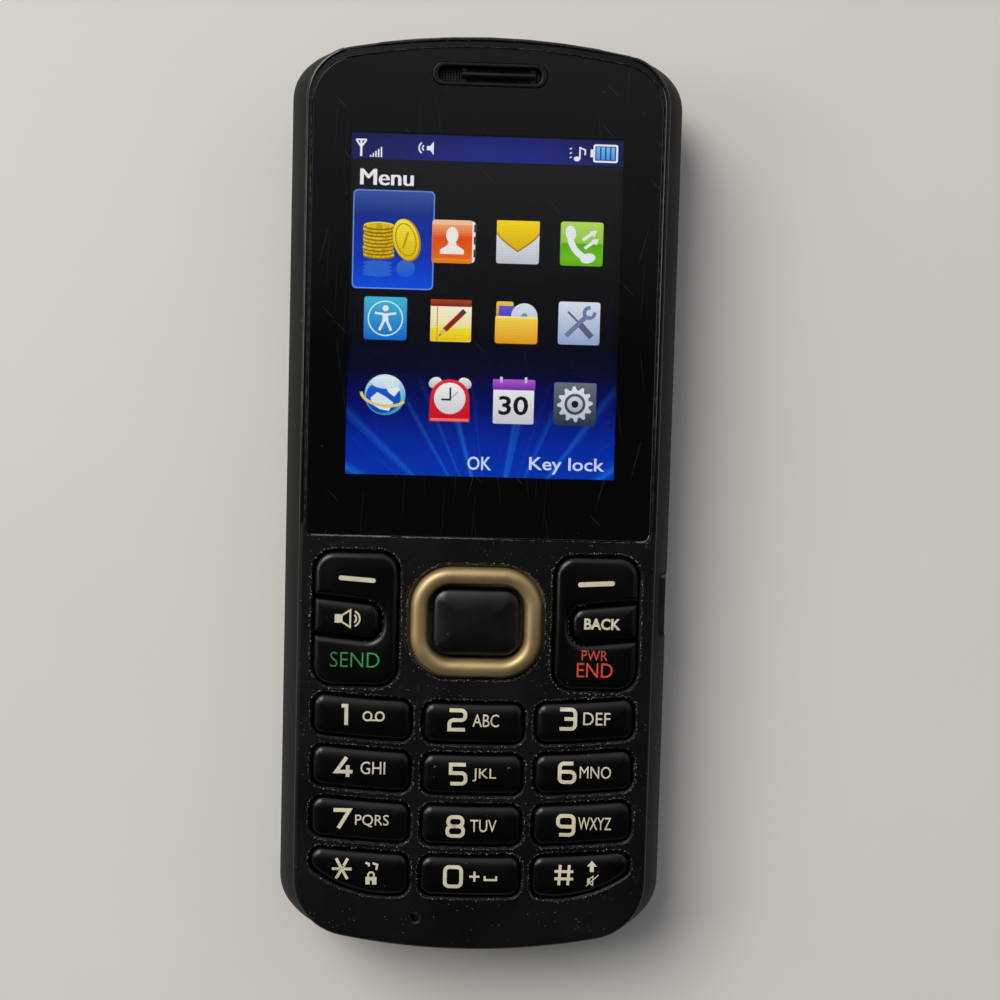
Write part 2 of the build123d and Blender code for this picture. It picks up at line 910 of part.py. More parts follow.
with BuildPart() as window_adhesive:
    with BuildSketch(Plane.XY.offset(ledge_height)):
        add(window_outline(adhesive_margin))
        with Locations((0, screen_middle)):
            Rectangle(
                screen_opening[0] + 2 * adhesive_margin,
                screen_opening[1] + 2 * adhesive_margin,
                mode=Mode.SUBTRACT,
            )
        with Locations((0, ear_middle)):
            SlotOverall(
                ear_insert_width + 2 * adhesive_margin,
                ear_insert_height + 2 * adhesive_margin,
                mode=Mode.SUBTRACT,
            )
    extrude(amount=adhesive_thickness)
save(window_adhesive.part, "window_adhesive")

# Earpiece: insert with a bar across its slot, mesh below it and the receiver inside
with BuildPart() as earpiece_insert:
    with BuildSketch(Plane.XY.offset(ledge_height)):
        with Locations((0, ear_middle)):
            SlotOverall(ear_insert_width, ear_insert_height)
            SlotOverall(ear_slot_width, ear_slot_height, mode=Mode.SUBTRACT)
    extrude(amount=face_height + ear_rise - ledge_height)
    fillet(earpiece_insert.faces().sort_by(Axis.Z)[-1].edges(), ear_rib / 4)
    bar_width = ear_bar_right - ear_bar_left
    bar_middle = (ear_bar_left + ear_bar_right) / 2
    with BuildSketch(Plane.YZ.offset(ear_bar_left)):
        with Locations((ear_middle, window_face - ear_bar_drop - ear_bar_height / 2)):
            Circle(ear_bar_height / 2)
    extrude(amount=bar_width)
    for rib_x in (ear_bar_left + ear_rib / 2, ear_bar_right - ear_rib / 2):
        add(
            block(
                ear_rib,
                ear_slot_height + ear_rib / 2,
                ledge_height,
                window_face - ear_bar_drop - ear_bar_height / 2,
                x=rib_x,
                y=ear_middle,
            )
        )
save(earpiece_insert.part, "earpiece_insert")

with BuildPart() as earpiece_mesh:
    with BuildSketch(Plane.XY.offset(ledge_height - ear_mesh_thickness)):
        with Locations((0, ear_middle)):
            SlotOverall(ear_slot_width + 2 * ear_mesh_overlap, ear_slot_height + 2 * ear_mesh_overlap)
    extrude(amount=ear_mesh_thickness)
save(earpiece_mesh.part, "earpiece_mesh")

receiver = block(
    receiver_width,
    receiver_depth,
    board_top + receiver_lift,
    ledge_underside - receiver_gap,
    y=receiver_middle,
    corner=receiver_corner,
)
save(receiver, "earpiece_receiver")

# Display module: glass panel in its light tray, gasket above it, ribbon to the board
panel = block(panel_width, panel_length, panel_bottom, panel_top, y=panel_middle)
save(panel, "display_panel")

with BuildPart() as display_tray:
    add(block(tray_width, tray_length, board_top + tray_lift, panel_top - tray_rim_drop, y=panel_middle))
    add(
        block(
            panel_width + 2 * tray_gap,
            panel_length + 2 * tray_gap,
            panel_bottom,
            panel_top,
            y=panel_middle,
        ),
        mode=Mode.SUBTRACT,
    )
    add(
        block(tray_notch, 2 * tray_wall, panel_bottom, panel_top, y=panel_low_end - tray_gap - tray_wall),
        mode=Mode.SUBTRACT,
    )
save(display_tray.part, "display_light_tray")

with BuildPart() as display_gasket:
    with BuildSketch(Plane.XY.offset(panel_top)):
        with Locations((0, screen_middle)):
            Rectangle(screen_opening[0] + 2 * gasket_width, screen_opening[1] + 2 * gasket_width)
            Rectangle(*screen_opening, mode=Mode.SUBTRACT)
    extrude(amount=ledge_underside - panel_top)
save(display_gasket.part, "display_gasket")

flex_bottom = panel_bottom + flex_thickness
flex_end = panel_low_end - flex_reach
with BuildPart() as display_ribbon:
    add(
        block(
            flex_width,
            flex_reach,
            flex_bottom,
            flex_bottom + flex_thickness,
            y=panel_low_end - flex_reach / 2,
        )
    )
    add(
        block(
            flex_width,
            flex_thickness,
            board_top + connector_height,
            flex_bottom,
            y=flex_end + flex_thickness / 2,
        )
    )
save(display_ribbon.part, "display_ribbon")

connector = block(
    connector_width, connector_length, board_top, board_top + connector_height, y=flex_end
)
save(connector, "display_connector")

# Circuit board with holes for the bosses and a cut-out for the charging socket
port_inner = body_width / 2 - port_recess - port_depth
with BuildPart() as main_board:
    with BuildSketch(Plane.XY.offset(board_bottom)):
        add(case_face(0, board_inset))
        with Locations(*screws):
            Circle(boss_radius + board_hole_gap, mode=Mode.SUBTRACT)
        with Locations((port_inner - port_gap, port_y)):
            Rectangle(
                port_depth + 2 * port_recess,
                port_width + 2 * port_gap,
                align=(Align.MIN, Align.CENTER),
                mode=Mode.SUBTRACT,
            )
    extrude(amount=board_thickness)
save(main_board.part, "main_board")

# Dome switches: one below each number key, small key and centre key, four below the
# ring and two below each rocker
key_places = []
for row in range(len(key_rows)):
    for column in columns:
        x = column * column_middle
        level = row_first - row_pitch * row - row_height / 2
        key_places.append((x, row_edge(x, level)))
small_places = [(side * small_key_x, small_key_y) for side in (-1, 1)]
rocker_places = [
    (side * rocker_middle, pad_middle + end * rocker_dome_y) for side in (-1, 1) for end in (-1, 1)
]
ring_places = [
    (-ring_dome_x, pad_middle),
    (ring_dome_x, pad_middle),
    (0, pad_middle - ring_dome_y),
    (0, pad_middle + ring_dome_y),
]
centre_place = [(0, pad_middle)]
dome_places = key_places + small_places + rocker_places + ring_places + centre_place
with BuildPart() as key_domes:
    with Locations(*[(x, y, board_top) for x, y in dome_places]):
        Cone(
            bottom_radius=dome_radius,
            top_radius=dome_crown_radius,
            height=dome_height,
            align=(Align.CENTER, Align.CENTER, Align.MIN),
        )
save(key_domes.part, "key_domes")

# Keypad lamps between the columns of domes
lamp_x = (middle_half + column_inner) / 2
lamp_rows = [
    row_first - row_pitch * row - row_height - (row_pitch - row_height) / 2 for row in (0, 2)
]
lamp_places = [(side * lamp_x, y) for side in (-1, 1) for y in lamp_rows]
lamp_places += [(side * (ring_dome_x + rocker_middle) / 2, pad_middle) for side in (-1, 1)]
with BuildPart() as keypad_lamps:
    with BuildSketch(Plane.XY.offset(board_top)):
        with Locations(*lamp_places):
            Rectangle(lamp_width, lamp_length)
    extrude(amount=lamp_height)
save(keypad_lamps.part, "keypad_lamps")

# Silicone mat: web with a skirt on the board, pads under the keys, plungers on the domes
mat_middle = (mat_top_edge + mat_bottom_edge) / 2
mat_length = mat_top_edge - mat_bottom_edge
small_pad_top = rocker_bottom_height - key_travel - mat_gap
with BuildPart() as keypad_mat:
    add(block(2 * mat_half_width, mat_length, board_top, mat_top, y=mat_middle, corner=mat_corner))
    add(
        block(
            2 * (mat_half_width - mat_skirt),
            mat_length - 2 * mat_skirt,
            board_top,
            mat_bottom,
            y=mat_middle,
            corner=mat_corner - mat_skirt,
        ),
        mode=Mode.SUBTRACT,
    )
    add(rod(pad_radius, mat_bottom, pad_top, key_places))
    add(rod(pad_radius, mat_bottom, small_pad_top, small_places + rocker_places))
    add(rod(pad_radius, mat_bottom, ok_bottom - key_travel - mat_gap, centre_place))
    add(rod(plunger_radius, dome_top + plunger_gap, mat_bottom, dome_places))
    add(
        block(
            port_depth + mat_skirt,
            port_width + 2 * mat_skirt,
            board_top - overrun,
            mat_top + overrun,
            x=port_inner + port_depth / 2,
            y=port_y,
        ),
        mode=Mode.SUBTRACT,
    )
save(keypad_mat.part, "keypad_mat")

# Number keys
for row, names in enumerate(key_rows):
    for column, name in zip(columns, names):
        with BuildPart() as digit_key:
            add(
                key_cap(
                    digit_outline(column, row, 0),
                    digit_outline(column, row, key_flange_reach),
                    cap_bottom,
                    flange_top,
                    key_crown,
                    key_edge_round,
                )
            )
            if name == "key_5":
                middle_y = row_edge(0, row_first - row_pitch * row - row_height / 2)
                with BuildSketch(Plane.XY.offset(key_crown - pip_rise)):
                    with Locations((-pip_x, middle_y), (pip_x, middle_y)):
                        SlotOverall(pip_length, 2 * pip_radius, rotation=90)
                extrude(amount=2 * pip_rise)
        save(digit_key.part, name)

# Function keys: a rocker on each side, with a small key in its notch
for side, rocker_name, small_name in (
    (-1, "left_rocker_key", "speaker_key"),
    (1, "right_rocker_key", "back_key"),
):
    with BuildPart() as rocker_key:
        add(
            key_cap(
                rocker_outline(side, 0),
                rocker_outline(side, rocker_flange_reach),
                rocker_bottom_height,
                rocker_flange_top,
                key_crown,
                rocker_edge_round,
            )
        )
        with BuildSketch(Plane.XY.offset(rocker_bottom_height)):
            add(small_key_outline(side, small_key_gap))
        extrude(amount=key_crown, mode=Mode.SUBTRACT)
    save(rocker_key.part, rocker_name)
    with BuildPart() as small_key:
        add(
            key_cap(
                rocker_outline(side, 0),
                rocker_outline(side, rocker_flange_reach),
                rocker_bottom_height,
                rocker_flange_top,
                key_crown - small_key_drop,
                rocker_edge_round,
            )
        )
        with BuildSketch(Plane.XY.offset(rocker_bottom_height)):
            add(small_key_outline(side, 0))
        extrude(amount=key_crown, mode=Mode.INTERSECT)
    save(small_key.part, small_name)

# Navigation ring on its tilting carrier, round the centre key
with BuildPart() as nav_ring:
    with BuildSketch(Plane.XY.offset(ring_bottom)):
        add(pad_outline(0))
        add(pad_outline(-ring_band), mode=Mode.SUBTRACT)
    extrude(amount=ring_crown - ring_bottom)
    fillet(nav_ring.faces().sort_by(Axis.Z)[-1].edges(), ring_edge_round)
    with BuildSketch(Plane.XY.offset(ring_bottom)):
        add(pad_outline(ring_flange_reach))
        add(pad_outline(-ring_band), mode=Mode.SUBTRACT)
    extrude(amount=ring_flange_height)
save(nav_ring.part, "nav_ring")

with BuildPart() as ring_carrier:
    with BuildSketch(Plane.XY.offset(carrier_top - carrier_thickness)):
        add(pad_outline(ring_flange_reach - carrier_trim))
        add(pad_outline(-ring_band), mode=Mode.SUBTRACT)
    extrude(amount=carrier_thickness)
save(ring_carrier.part, "nav_ring_carrier")

with BuildPart() as ok_key:
    add(block(ok_width, ok_height, ok_bottom, ok_crown, y=pad_middle, corner=ok_corner))
    fillet(ok_key.faces().sort_by(Axis.Z)[-1].edges(), ok_edge_round)
save(ok_key.part, "ok_key")

# Microphone in a rubber boot between the board and the front cover
mic_top = plate_bottom - mic_boot_cap
with BuildPart() as mic_boot:
    add(rod(mic_boot_radius, board_top + mic_boot_lift, plate_bottom, ((mic_x, mic_y),)))
    add(
        rod(mic_radius + mic_gap, mic_top - mic_height - mic_gap, mic_top, ((mic_x, mic_y),)),
        mode=Mode.SUBTRACT,
    )
    add(rod(mic_hole_width / 2, mic_top, plate_bottom, ((mic_x, mic_y),)), mode=Mode.SUBTRACT)
save(mic_boot.part, "microphone_boot")
save(rod(mic_radius, mic_top - mic_height, mic_top, ((mic_x, mic_y),)), "microphone")

# Headset socket
with BuildPart() as headset_socket:
    with BuildSketch(Plane.XZ.offset(-jack_mouth)):
        with Locations((jack_x, jack_z)):
            Circle(jack_nose_radius)
    extrude(amount=jack_nose_length)
    body_end = jack_mouth - jack_length - jack_back_wall
    body_start = jack_mouth - jack_nose_length
    add(
        block(
            jack_body_width,
            body_start - body_end,
            jack_z - jack_body_height / 2,
            jack_z + jack_body_height / 2,
            x=jack_x,
            y=(body_start + body_end) / 2,
        )
    )
    with BuildSketch(Plane.XZ.offset(-jack_mouth)):
        with Locations((jack_x, jack_z)):
            Circle(jack_radius)
    extrude(amount=jack_length, mode=Mode.SUBTRACT)
save(headset_socket.part, "headset_socket")

# Charging socket and its tongue
port_z = board_bottom + port_height / 2
with BuildPart() as charging_port:
    with BuildSketch(Plane.YZ.offset(port_inner)):
        with Locations((port_y, port_z)):
            RectangleRounded(port_width, port_height, port_corner)
    extrude(amount=port_depth)
    with BuildSketch(Plane.YZ.offset(port_inner + port_shell)):
        with Locations((port_y, port_z)):
            RectangleRounded(
                port_width - 2 * port_shell, port_height - 2 * port_shell, port_corner - port_shell
            )
    extrude(amount=port_depth, mode=Mode.SUBTRACT)
save(charging_port.part, "charging_port")
tongue = block(
    port_tongue_length,
    port_tongue_width,
    port_z - port_tongue_height / 2,
    port_z + port_tongue_height / 2,
    x=port_inner + port_shell + port_tongue_length / 2,
    y=port_y,
)
save(tongue, "charging_port_tongue")

# Loudspeaker on its gasket, mesh inside the gasket, springs up to the board
speaker_low = wall + speaker_gasket_height
with BuildPart() as loudspeaker:
    add(
        block(
            speaker_width,
            speaker_length,
            speaker_low,
            speaker_low + speaker_height,
            x=speaker_x,
            y=speaker_y,
            corner=speaker_corner,
        )
    )
    spring_places = [(speaker_x + end * speaker_spring_x, speaker_y) for end in (-1, 1)]
    add(rod(speaker_spring_radius, speaker_low + speaker_height, board_bottom, spring_places))
save(loudspeaker.part, "loudspeaker")

with BuildPart() as speaker_gasket:
    with BuildSketch(Plane.XY.offset(wall)):
        with Locations((speaker_x, speaker_y)):
            RectangleRounded(speaker_width, speaker_length, speaker_corner)
            RectangleRounded(
                speaker_width - 2 * speaker_gasket_width,
                speaker_length - 2 * speaker_gasket_width,
                speaker_corner - speaker_gasket_width,
                mode=Mode.SUBTRACT,
            )
    extrude(amount=speaker_gasket_height)
save(speaker_gasket.part, "loudspeaker_gasket")
speaker_mesh = block(
    speaker_width - 2 * speaker_gasket_width - speaker_mesh_thickness,
    speaker_length - 2 * speaker_gasket_width - speaker_mesh_thickness,
    wall,
    wall + speaker_mesh_thickness,
    x=speaker_x,
    y=speaker_y,
    corner=speaker_corner - speaker_gasket_width,
)
save(speaker_mesh, "loudspeaker_mesh")

# Camera: module with its lens, and the clear window in the back
camera_place = ((0, camera_y),)
barrel_low = wall + camera_gap
barrel_top = barrel_low + camera_barrel_height
with BuildPart() as camera_module:
    add(block(camera_base, camera_base, barrel_top, barrel_top + camera_base_height, y=camera_y))
    add(rod(camera_barrel_radius, barrel_low, barrel_top, camera_place))
    add(
        rod(camera_lens_radius + camera_gap, barrel_low, barrel_low + camera_well_depth, camera_place),
        mode=Mode.SUBTRACT,
    )
save(camera_module.part, "camera_module")
lens_top = barrel_low + camera_well_depth
save(rod(camera_lens_radius, lens_top - camera_lens_thickness, lens_top, camera_place), "camera_lens")
camera_window = rod(
    camera_window_radius, camera_window_drop, camera_window_drop + camera_window_thickness, camera_place
)
save(camera_window, "camera_window")

# Vibration motor and the weight on its shaft
motor_end = motor_y + motor_length / 2
with BuildPart() as vibration_motor:
    with BuildSketch(Plane.XZ.offset(-motor_end)):
        with Locations((motor_x, motor_z)):
            Circle(motor_radius)
    extrude(amount=motor_length)
    with BuildSketch(Plane.XZ.offset(-motor_end)):
        with Locations((motor_x, motor_z)):
            Circle(motor_shaft_radius + motor_shaft_gap)
    extrude(amount=motor_shaft_depth + motor_shaft_gap, mode=Mode.SUBTRACT)
save(vibration_motor.part, "vibration_motor")

weight_end = motor_end + weight_gap + weight_length
with BuildPart() as vibration_weight:
    with BuildSketch(Plane.XZ.offset(-weight_end)):
        with Locations((motor_x, motor_z)):
            Circle(weight_radius)
            Rectangle(
                2 * weight_radius,
                weight_radius,
                align=(Align.CENTER, Align.MIN),
                mode=Mode.SUBTRACT,
            )
            Circle(weight_hub_radius)
    extrude(amount=weight_length)
    with BuildSketch(Plane.XZ.offset(-weight_end)):
        with Locations((motor_x, motor_z)):
            Circle(motor_shaft_radius)
    extrude(amount=weight_length + weight_gap + motor_shaft_depth)
save(vibration_weight.part, "vibration_weight")

# Volume key with its flange behind the side wall, and the switch board it presses
flange_x = -body_width / 2 + wall + volume_flange_set_back
with BuildPart() as volume_key:
    with BuildSketch(Plane.YZ.offset(-body_width / 2)):
        with Locations((volume_y, volume_z)):
            RectangleRounded(volume_length, volume_height, volume_corner)
    extrude(amount=flange_x + body_width / 2)
    add(outer_form, mode=Mode.INTERSECT)
    with BuildSketch(Plane.YZ.offset(flange_x)):
        with Locations((volume_y, volume_z)):
            RectangleRounded(
                volume_length + 2 * volume_flange_reach,
                volume_height + 2 * volume_flange_reach,
                volume_corner,
            )
    extrude(amount=volume_flange_thickness)
    with BuildSketch(Plane.YZ.offset(flange_x + volume_flange_thickness)):
        with Locations((volume_y - volume_nub_y, volume_z), (volume_y + volume_nub_y, volume_z)):
            Circle(volume_nub_radius)
    extrude(amount=volume_nub_height)
save(volume_key.part, "volume_key")
switch_x = flange_x + volume_flange_thickness + volume_switch_gap
volume_switches = block(
    volume_switch_thickness,
    volume_length,
    volume_z - volume_height / 2,
    board_bottom,
    x=switch_x + volume_switch_thickness / 2,
    y=volume_y,
)
save(volume_switches, "volume_switch_board")

# Battery and the contact block at the top end of its bay
with BuildPart() as battery:
    add(
        block(
            battery_width,
            battery_length,
            battery_bottom,
            battery_top,
            y=battery_middle,
            corner=battery_corner,
        )
    )
    fillet(battery.edges().group_by(Axis.Z)[0] + battery.edges().group_by(Axis.Z)[-1], battery_edge)
save(battery.part, "battery")

contact_start = bay_top_end + contact_set_back
finger_end = battery_middle + battery_length / 2 + contact_gap
with BuildPart() as battery_contacts:
    add(
        block(
            contact_width,
            contact_depth,
            deck_top + contact_gap,
            board_bottom,
            y=contact_start + contact_depth / 2,
        )
    )
    for step in columns:
        add(
            block(
                contact_finger,
                contact_start - finger_end,
                finger_low,
                finger_low + contact_finger_height,
                x=step * contact_pitch,
                y=(contact_start + finger_end) / 2,
            )
        )
save(battery_contacts.part, "battery_contacts")

# Radio shield and aerial below the board
shield_low = board_bottom - shield_height
with BuildPart() as radio_shield:
    add(block(shield_width, shield_length, shield_low, board_bottom, x=shield_x, y=shield_y))
    add(
        block(
            shield_width - 2 * shield_sheet,
            shield_length - 2 * shield_sheet,
            shield_low + shield_sheet,
            board_bottom,
            x=shield_x,
            y=shield_y,
        ),
        mode=Mode.SUBTRACT,
    )
save(radio_shield.part, "radio_shield")
with BuildPart() as radio_chips:
    with BuildSketch(Plane.XY.offset(board_bottom)):
        with Locations((shield_x, shield_y)):
            with GridLocations(shield_width / 2, 0, 2, 1):
                Rectangle(chip_size, chip_size)
    extrude(amount=-chip_height)
save(radio_chips.part, "radio_chips")

aerial_low = board_bottom - aerial_height
with BuildPart() as aerial_carrier:
    add(block(aerial_width, aerial_length, aerial_low, board_bottom, x=aerial_x, y=aerial_y))
    add(
        block(
            aerial_width - 2 * aerial_strip,
            aerial_length - 2 * aerial_strip,
            aerial_low + aerial_strip / 2,
            board_bottom,
            x=aerial_x,
            y=aerial_y,
        ),
        mode=Mode.SUBTRACT,
    )
save(aerial_carrier.part, "aerial_carrier")
with BuildPart() as aerial:
    with BuildSketch(Plane.XY.offset(aerial_low)):
        with Locations((aerial_x, aerial_y)):
            Rectangle(aerial_width, aerial_length)
            Rectangle(
                aerial_width - 2 * aerial_strip, aerial_length - 2 * aerial_strip, mode=Mode.SUBTRACT
            )
        with Locations((aerial_x, aerial_y + (aerial_length - aerial_strip) / 2)):
            Rectangle(aerial_strip, aerial_strip, mode=Mode.SUBTRACT)
    extrude(amount=-aerial_sheet)
save(aerial.part, "aerial")

# Case screws from behind, and the rubber plugs over the upper two
with BuildPart() as case_screws:
    add(rod(screw_head_radius, screw_seat - screw_head_height, screw_seat, screws))
    add(rod(screw_shank_radius, screw_seat, screw_seat + screw_length, screws))
    with BuildSketch(Plane.XY.offset(screw_seat - screw_head_height)):
        with Locations(*screws):
            Rectangle(screw_slot_length, screw_slot_width)
            Rectangle(screw_slot_width, screw_slot_length)
    extrude(amount=screw_slot_depth, mode=Mode.SUBTRACT)
save(case_screws.part, "case_screws")
plugs = rod(screw_head_radius + screw_clearance - plug_gap, plug_drop, plug_drop + plug_height, top_screws)
save(plugs, "screw_plugs")
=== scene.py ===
import json
from cmath import phase, rect
from math import atan2, ceil, cos, pi, radians, sin, sqrt, tan

import bmesh
import bpy
from mathutils import Matrix, Vector
from mathutils.bvhtree import BVHTree

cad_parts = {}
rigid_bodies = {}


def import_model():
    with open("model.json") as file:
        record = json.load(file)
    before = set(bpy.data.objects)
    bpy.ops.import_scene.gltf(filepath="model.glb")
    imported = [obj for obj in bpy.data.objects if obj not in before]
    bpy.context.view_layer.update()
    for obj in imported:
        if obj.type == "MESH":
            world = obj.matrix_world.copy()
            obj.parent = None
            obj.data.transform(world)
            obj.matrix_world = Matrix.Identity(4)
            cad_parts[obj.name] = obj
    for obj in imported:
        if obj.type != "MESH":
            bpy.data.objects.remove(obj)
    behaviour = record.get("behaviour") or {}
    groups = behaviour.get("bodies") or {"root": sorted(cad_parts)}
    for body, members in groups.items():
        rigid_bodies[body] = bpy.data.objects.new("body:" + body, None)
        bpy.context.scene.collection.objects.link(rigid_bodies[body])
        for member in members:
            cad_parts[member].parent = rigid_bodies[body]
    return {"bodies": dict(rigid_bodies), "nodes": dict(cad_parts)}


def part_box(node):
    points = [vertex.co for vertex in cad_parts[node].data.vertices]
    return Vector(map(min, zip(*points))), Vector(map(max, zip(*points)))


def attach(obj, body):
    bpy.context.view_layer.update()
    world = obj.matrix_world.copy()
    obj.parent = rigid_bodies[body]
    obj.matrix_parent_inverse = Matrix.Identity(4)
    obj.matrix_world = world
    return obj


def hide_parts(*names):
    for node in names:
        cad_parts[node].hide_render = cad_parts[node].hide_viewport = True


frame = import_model()
mm = 0.001
scene = bpy.context.scene
loaded = set(frame["nodes"].values()) | set(frame["bodies"].values())
for item in list(bpy.data.objects):
    if item not in loaded:  # whatever the start-up file brought along
        bpy.data.objects.remove(item)
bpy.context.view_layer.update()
print("frame loaded:", len(frame["nodes"]), "nodes")


def placed(name, data):
    item = bpy.data.objects.new(name, data)
    scene.collection.objects.link(item)
    return item


# Camera: nearly straight down, leaning a little towards the earpiece end
view = {"place": (-2.764, 11.015, 182.139), "turn": (-0.06352, -0.02889, 0.02636),
        "lens": 52.39, "film": 36.0, "near": 5}


def placeCamera():
    data = bpy.data.cameras.new("viewCamera")
    data.lens, data.sensor_width, data.clip_start = view["lens"], view["film"], view["near"] * mm
    eye = placed("viewCamera", data)
    eye.location = Vector(view["place"]) * mm
    eye.rotation_euler = view["turn"]
    scene.camera = eye


studio = {
    # soft room light: dim overhead, brighter low down and towards the earpiece end
    "roof": (0.021, 0.022, 0.025), "glow": (0.74, 0.76, 0.80),
    "horizon": (0.52, 0.515, 0.51), "shade": (0.20, 0.178, 0.158),
    "glowFrom": 0.04, "glowTo": 0.72, "horizonTop": 0.34, "shadeFrom": 0.15, "shadeTo": 0.8,
    # name, place in mm, size in mm, watts, colour
    "lamps": (
        ("cornerLamp", (-330, 420, 420), 420, 1.1, (1.0, 0.97, 0.94)),
        ("leftLamp", (-430, 50, 300), 220, 0.5, (1.0, 0.98, 0.95)),
        ("sideLamp", (430, 60, 380), 360, 0.14, (1.0, 0.86, 0.72)),
    ),
    # daylight from the upper left, as wide as a window
    "daylight": {"from": (-300, 330, 450), "spread": 0.6, "strength": 1.52, "colour": (1.0, 0.965, 0.925)},
    "floorSide": 6000, "floorDrop": 0.03,
}


def placeLamps():
    world = bpy.data.worlds.new("softRoom")
    world.use_nodes = True
    tree = world.node_tree
    way = axesOf(tree, valueOf(tree, "ShaderNodeTexCoord", output="Generated"))
    towards = remap(tree, way["Y"], studio["glowFrom"], studio["glowTo"])
    away = remap(tree, way["X"], studio["shadeFrom"], studio["shadeTo"])
    low = remap(tree, way["Z"], studio["horizonTop"], 0.0)
    high = mixColour(tree, towards, studio["roof"], studio["glow"])
    edge = mixColour(tree, away, studio["horizon"], studio["shade"])
    feed(tree, tree.nodes["Background"], {"Color": mixColour(tree, low, high, edge)})
    scene.world = world
    scene.view_settings.view_transform = "Standard"
    for name, place, size, watts, colour in studio["lamps"]:
        lamp = hangLamp(name, "AREA", place, watts, colour)
        lamp.shape, lamp.size = "DISK", size * mm
    day = studio["daylight"]
    hangLamp("daylight", "SUN", day["from"], day["strength"], day["colour"]).angle = day["spread"]


def hangLamp(name, kind, place, strength, colour):
    data = bpy.data.lights.new(name, kind)
    data.energy, data.color = strength, colour
    lamp = placed(name, data)
    lamp.location = Vector(place) * mm
    lamp.rotation_euler = Vector(place).to_track_quat("Z", "Y").to_euler()
    return data


# Node building blocks
def feed(tree, node, inputs):
    for key, value in inputs.items():
        if isinstance(value, bpy.types.NodeSocket):
            tree.links.new(value, node.inputs[key])
        else:
            node.inputs[key].default_value = value


def nodeIn(tree, kind, inputs=None, **settings):
    node = tree.nodes.new(kind)
    for key, value in settings.items():
        setattr(node, key, value)
    feed(tree, node, inputs or {})
    return node


def valueOf(tree, kind, inputs=None, output=0, **settings):
    return nodeIn(tree, kind, inputs, **settings).outputs[output]


def maths(tree, operation, first, second=0.0):
    return valueOf(tree, "ShaderNodeMath", {0: first, 1: second}, operation=operation)


def product(tree, first, second):
    return maths(tree, "MULTIPLY", first, second)


def minus(tree, first, second):
    return maths(tree, "SUBTRACT", first, second)


def below(tree, value, limit):
    return maths(tree, "LESS_THAN", value, limit)


def remap(tree, value, fromLow, fromHigh, toLow=0.0, toHigh=1.0):
    inputs = {"Value": value, "From Min": fromLow, "From Max": fromHigh, "To Min": toLow, "To Max": toHigh}
    return valueOf(tree, "ShaderNodeMapRange", inputs, "Result")


def mixColour(tree, factor, *colours):
    inputs = {0: factor}
    for place, colour in zip((6, 7), colours):
        inputs[place] = colour if isinstance(colour, bpy.types.NodeSocket) else (*colour, 1)
    return valueOf(tree, "ShaderNodeMix", inputs, 2, data_type="RGBA")


def axesOf(tree, vector):
    return nodeIn(tree, "ShaderNodeSeparateXYZ", {"Vector": vector}).outputs


def objectSpace(tree):
    return valueOf(tree, "ShaderNodeTexCoord", output="Object")


def noiseIn(tree, space, scale, detail=2.0, rough=0.5):
    inputs = {"Vector": space, "Scale": scale, "Detail": detail, "Roughness": rough}
    return valueOf(tree, "ShaderNodeTexNoise", inputs, "Fac")


def bumpOf(tree, height, strength, depth, invert=False):
    inputs = {"Height": height, "Strength": strength, "Distance": depth * mm}
    return valueOf(tree, "ShaderNodeBump", inputs, "Normal", invert=invert)


def newTree(name, kind, sockets, outputs):
    # a node group with named inputs of (label, kind, value)
    tree = bpy.data.node_groups.new(name, kind)
    for label, socketKind, value in sockets:
        socket = tree.interface.new_socket(label, in_out="INPUT", socket_type="NodeSocket" + socketKind)
        if value is not None:
            socket.default_value = value
    for label, socketKind in outputs:
        tree.interface.new_socket(label, in_out="OUTPUT", socket_type="NodeSocket" + socketKind)
    return tree, tree.nodes.new("NodeGroupInput").outputs, tree.nodes.new("NodeGroupOutput")


def shaderGroup(name, inputs, *outputs):
    sockets = [(label, "Float", value) for label, value in inputs.items()]
    return newTree(name, "ShaderNodeTree", sockets, [(label, "Float") for label in outputs])


# Surface marks, each a group with its own inputs
marks = {
    "cloud": (0.3, 0.7),  # noise values where the clouds of tone start and end
    "edge": (0.02, 0.22), "wearStart": 0.78, "wearShare": 0.5, "wearSoft": 0.12, "bevelSamples": 4,
    "dustPlaces": 260.0, "dustKept": (0.42, 0.72),
    # turn, cells per metre across and along the hairs
    "hairs": ((0.35, 900.0, 120.0), (-0.55, 700.0, 170.0), (1.15, 800.0, 90.0), (1.9, 650.0, 210.0)),
    "hairTaper": 4.0, "hairShare": 0.3,
}


def makeGrainGroup():
    # fine grain of the mould and slow clouds of tone, both per metre
    tree, given, out = shaderGroup("mouldGrain", {"Grain": 6000.0, "Cloud": 120.0}, "Height", "Cloud")
    space = objectSpace(tree)
    height = noiseIn(tree, space, given["Grain"], 3.0)
    cloud = noiseIn(tree, space, given["Cloud"], 4.0, 0.6)
    feed(tree, out, {"Height": height, "Cloud": remap(tree, cloud, *marks["cloud"])})
    return tree


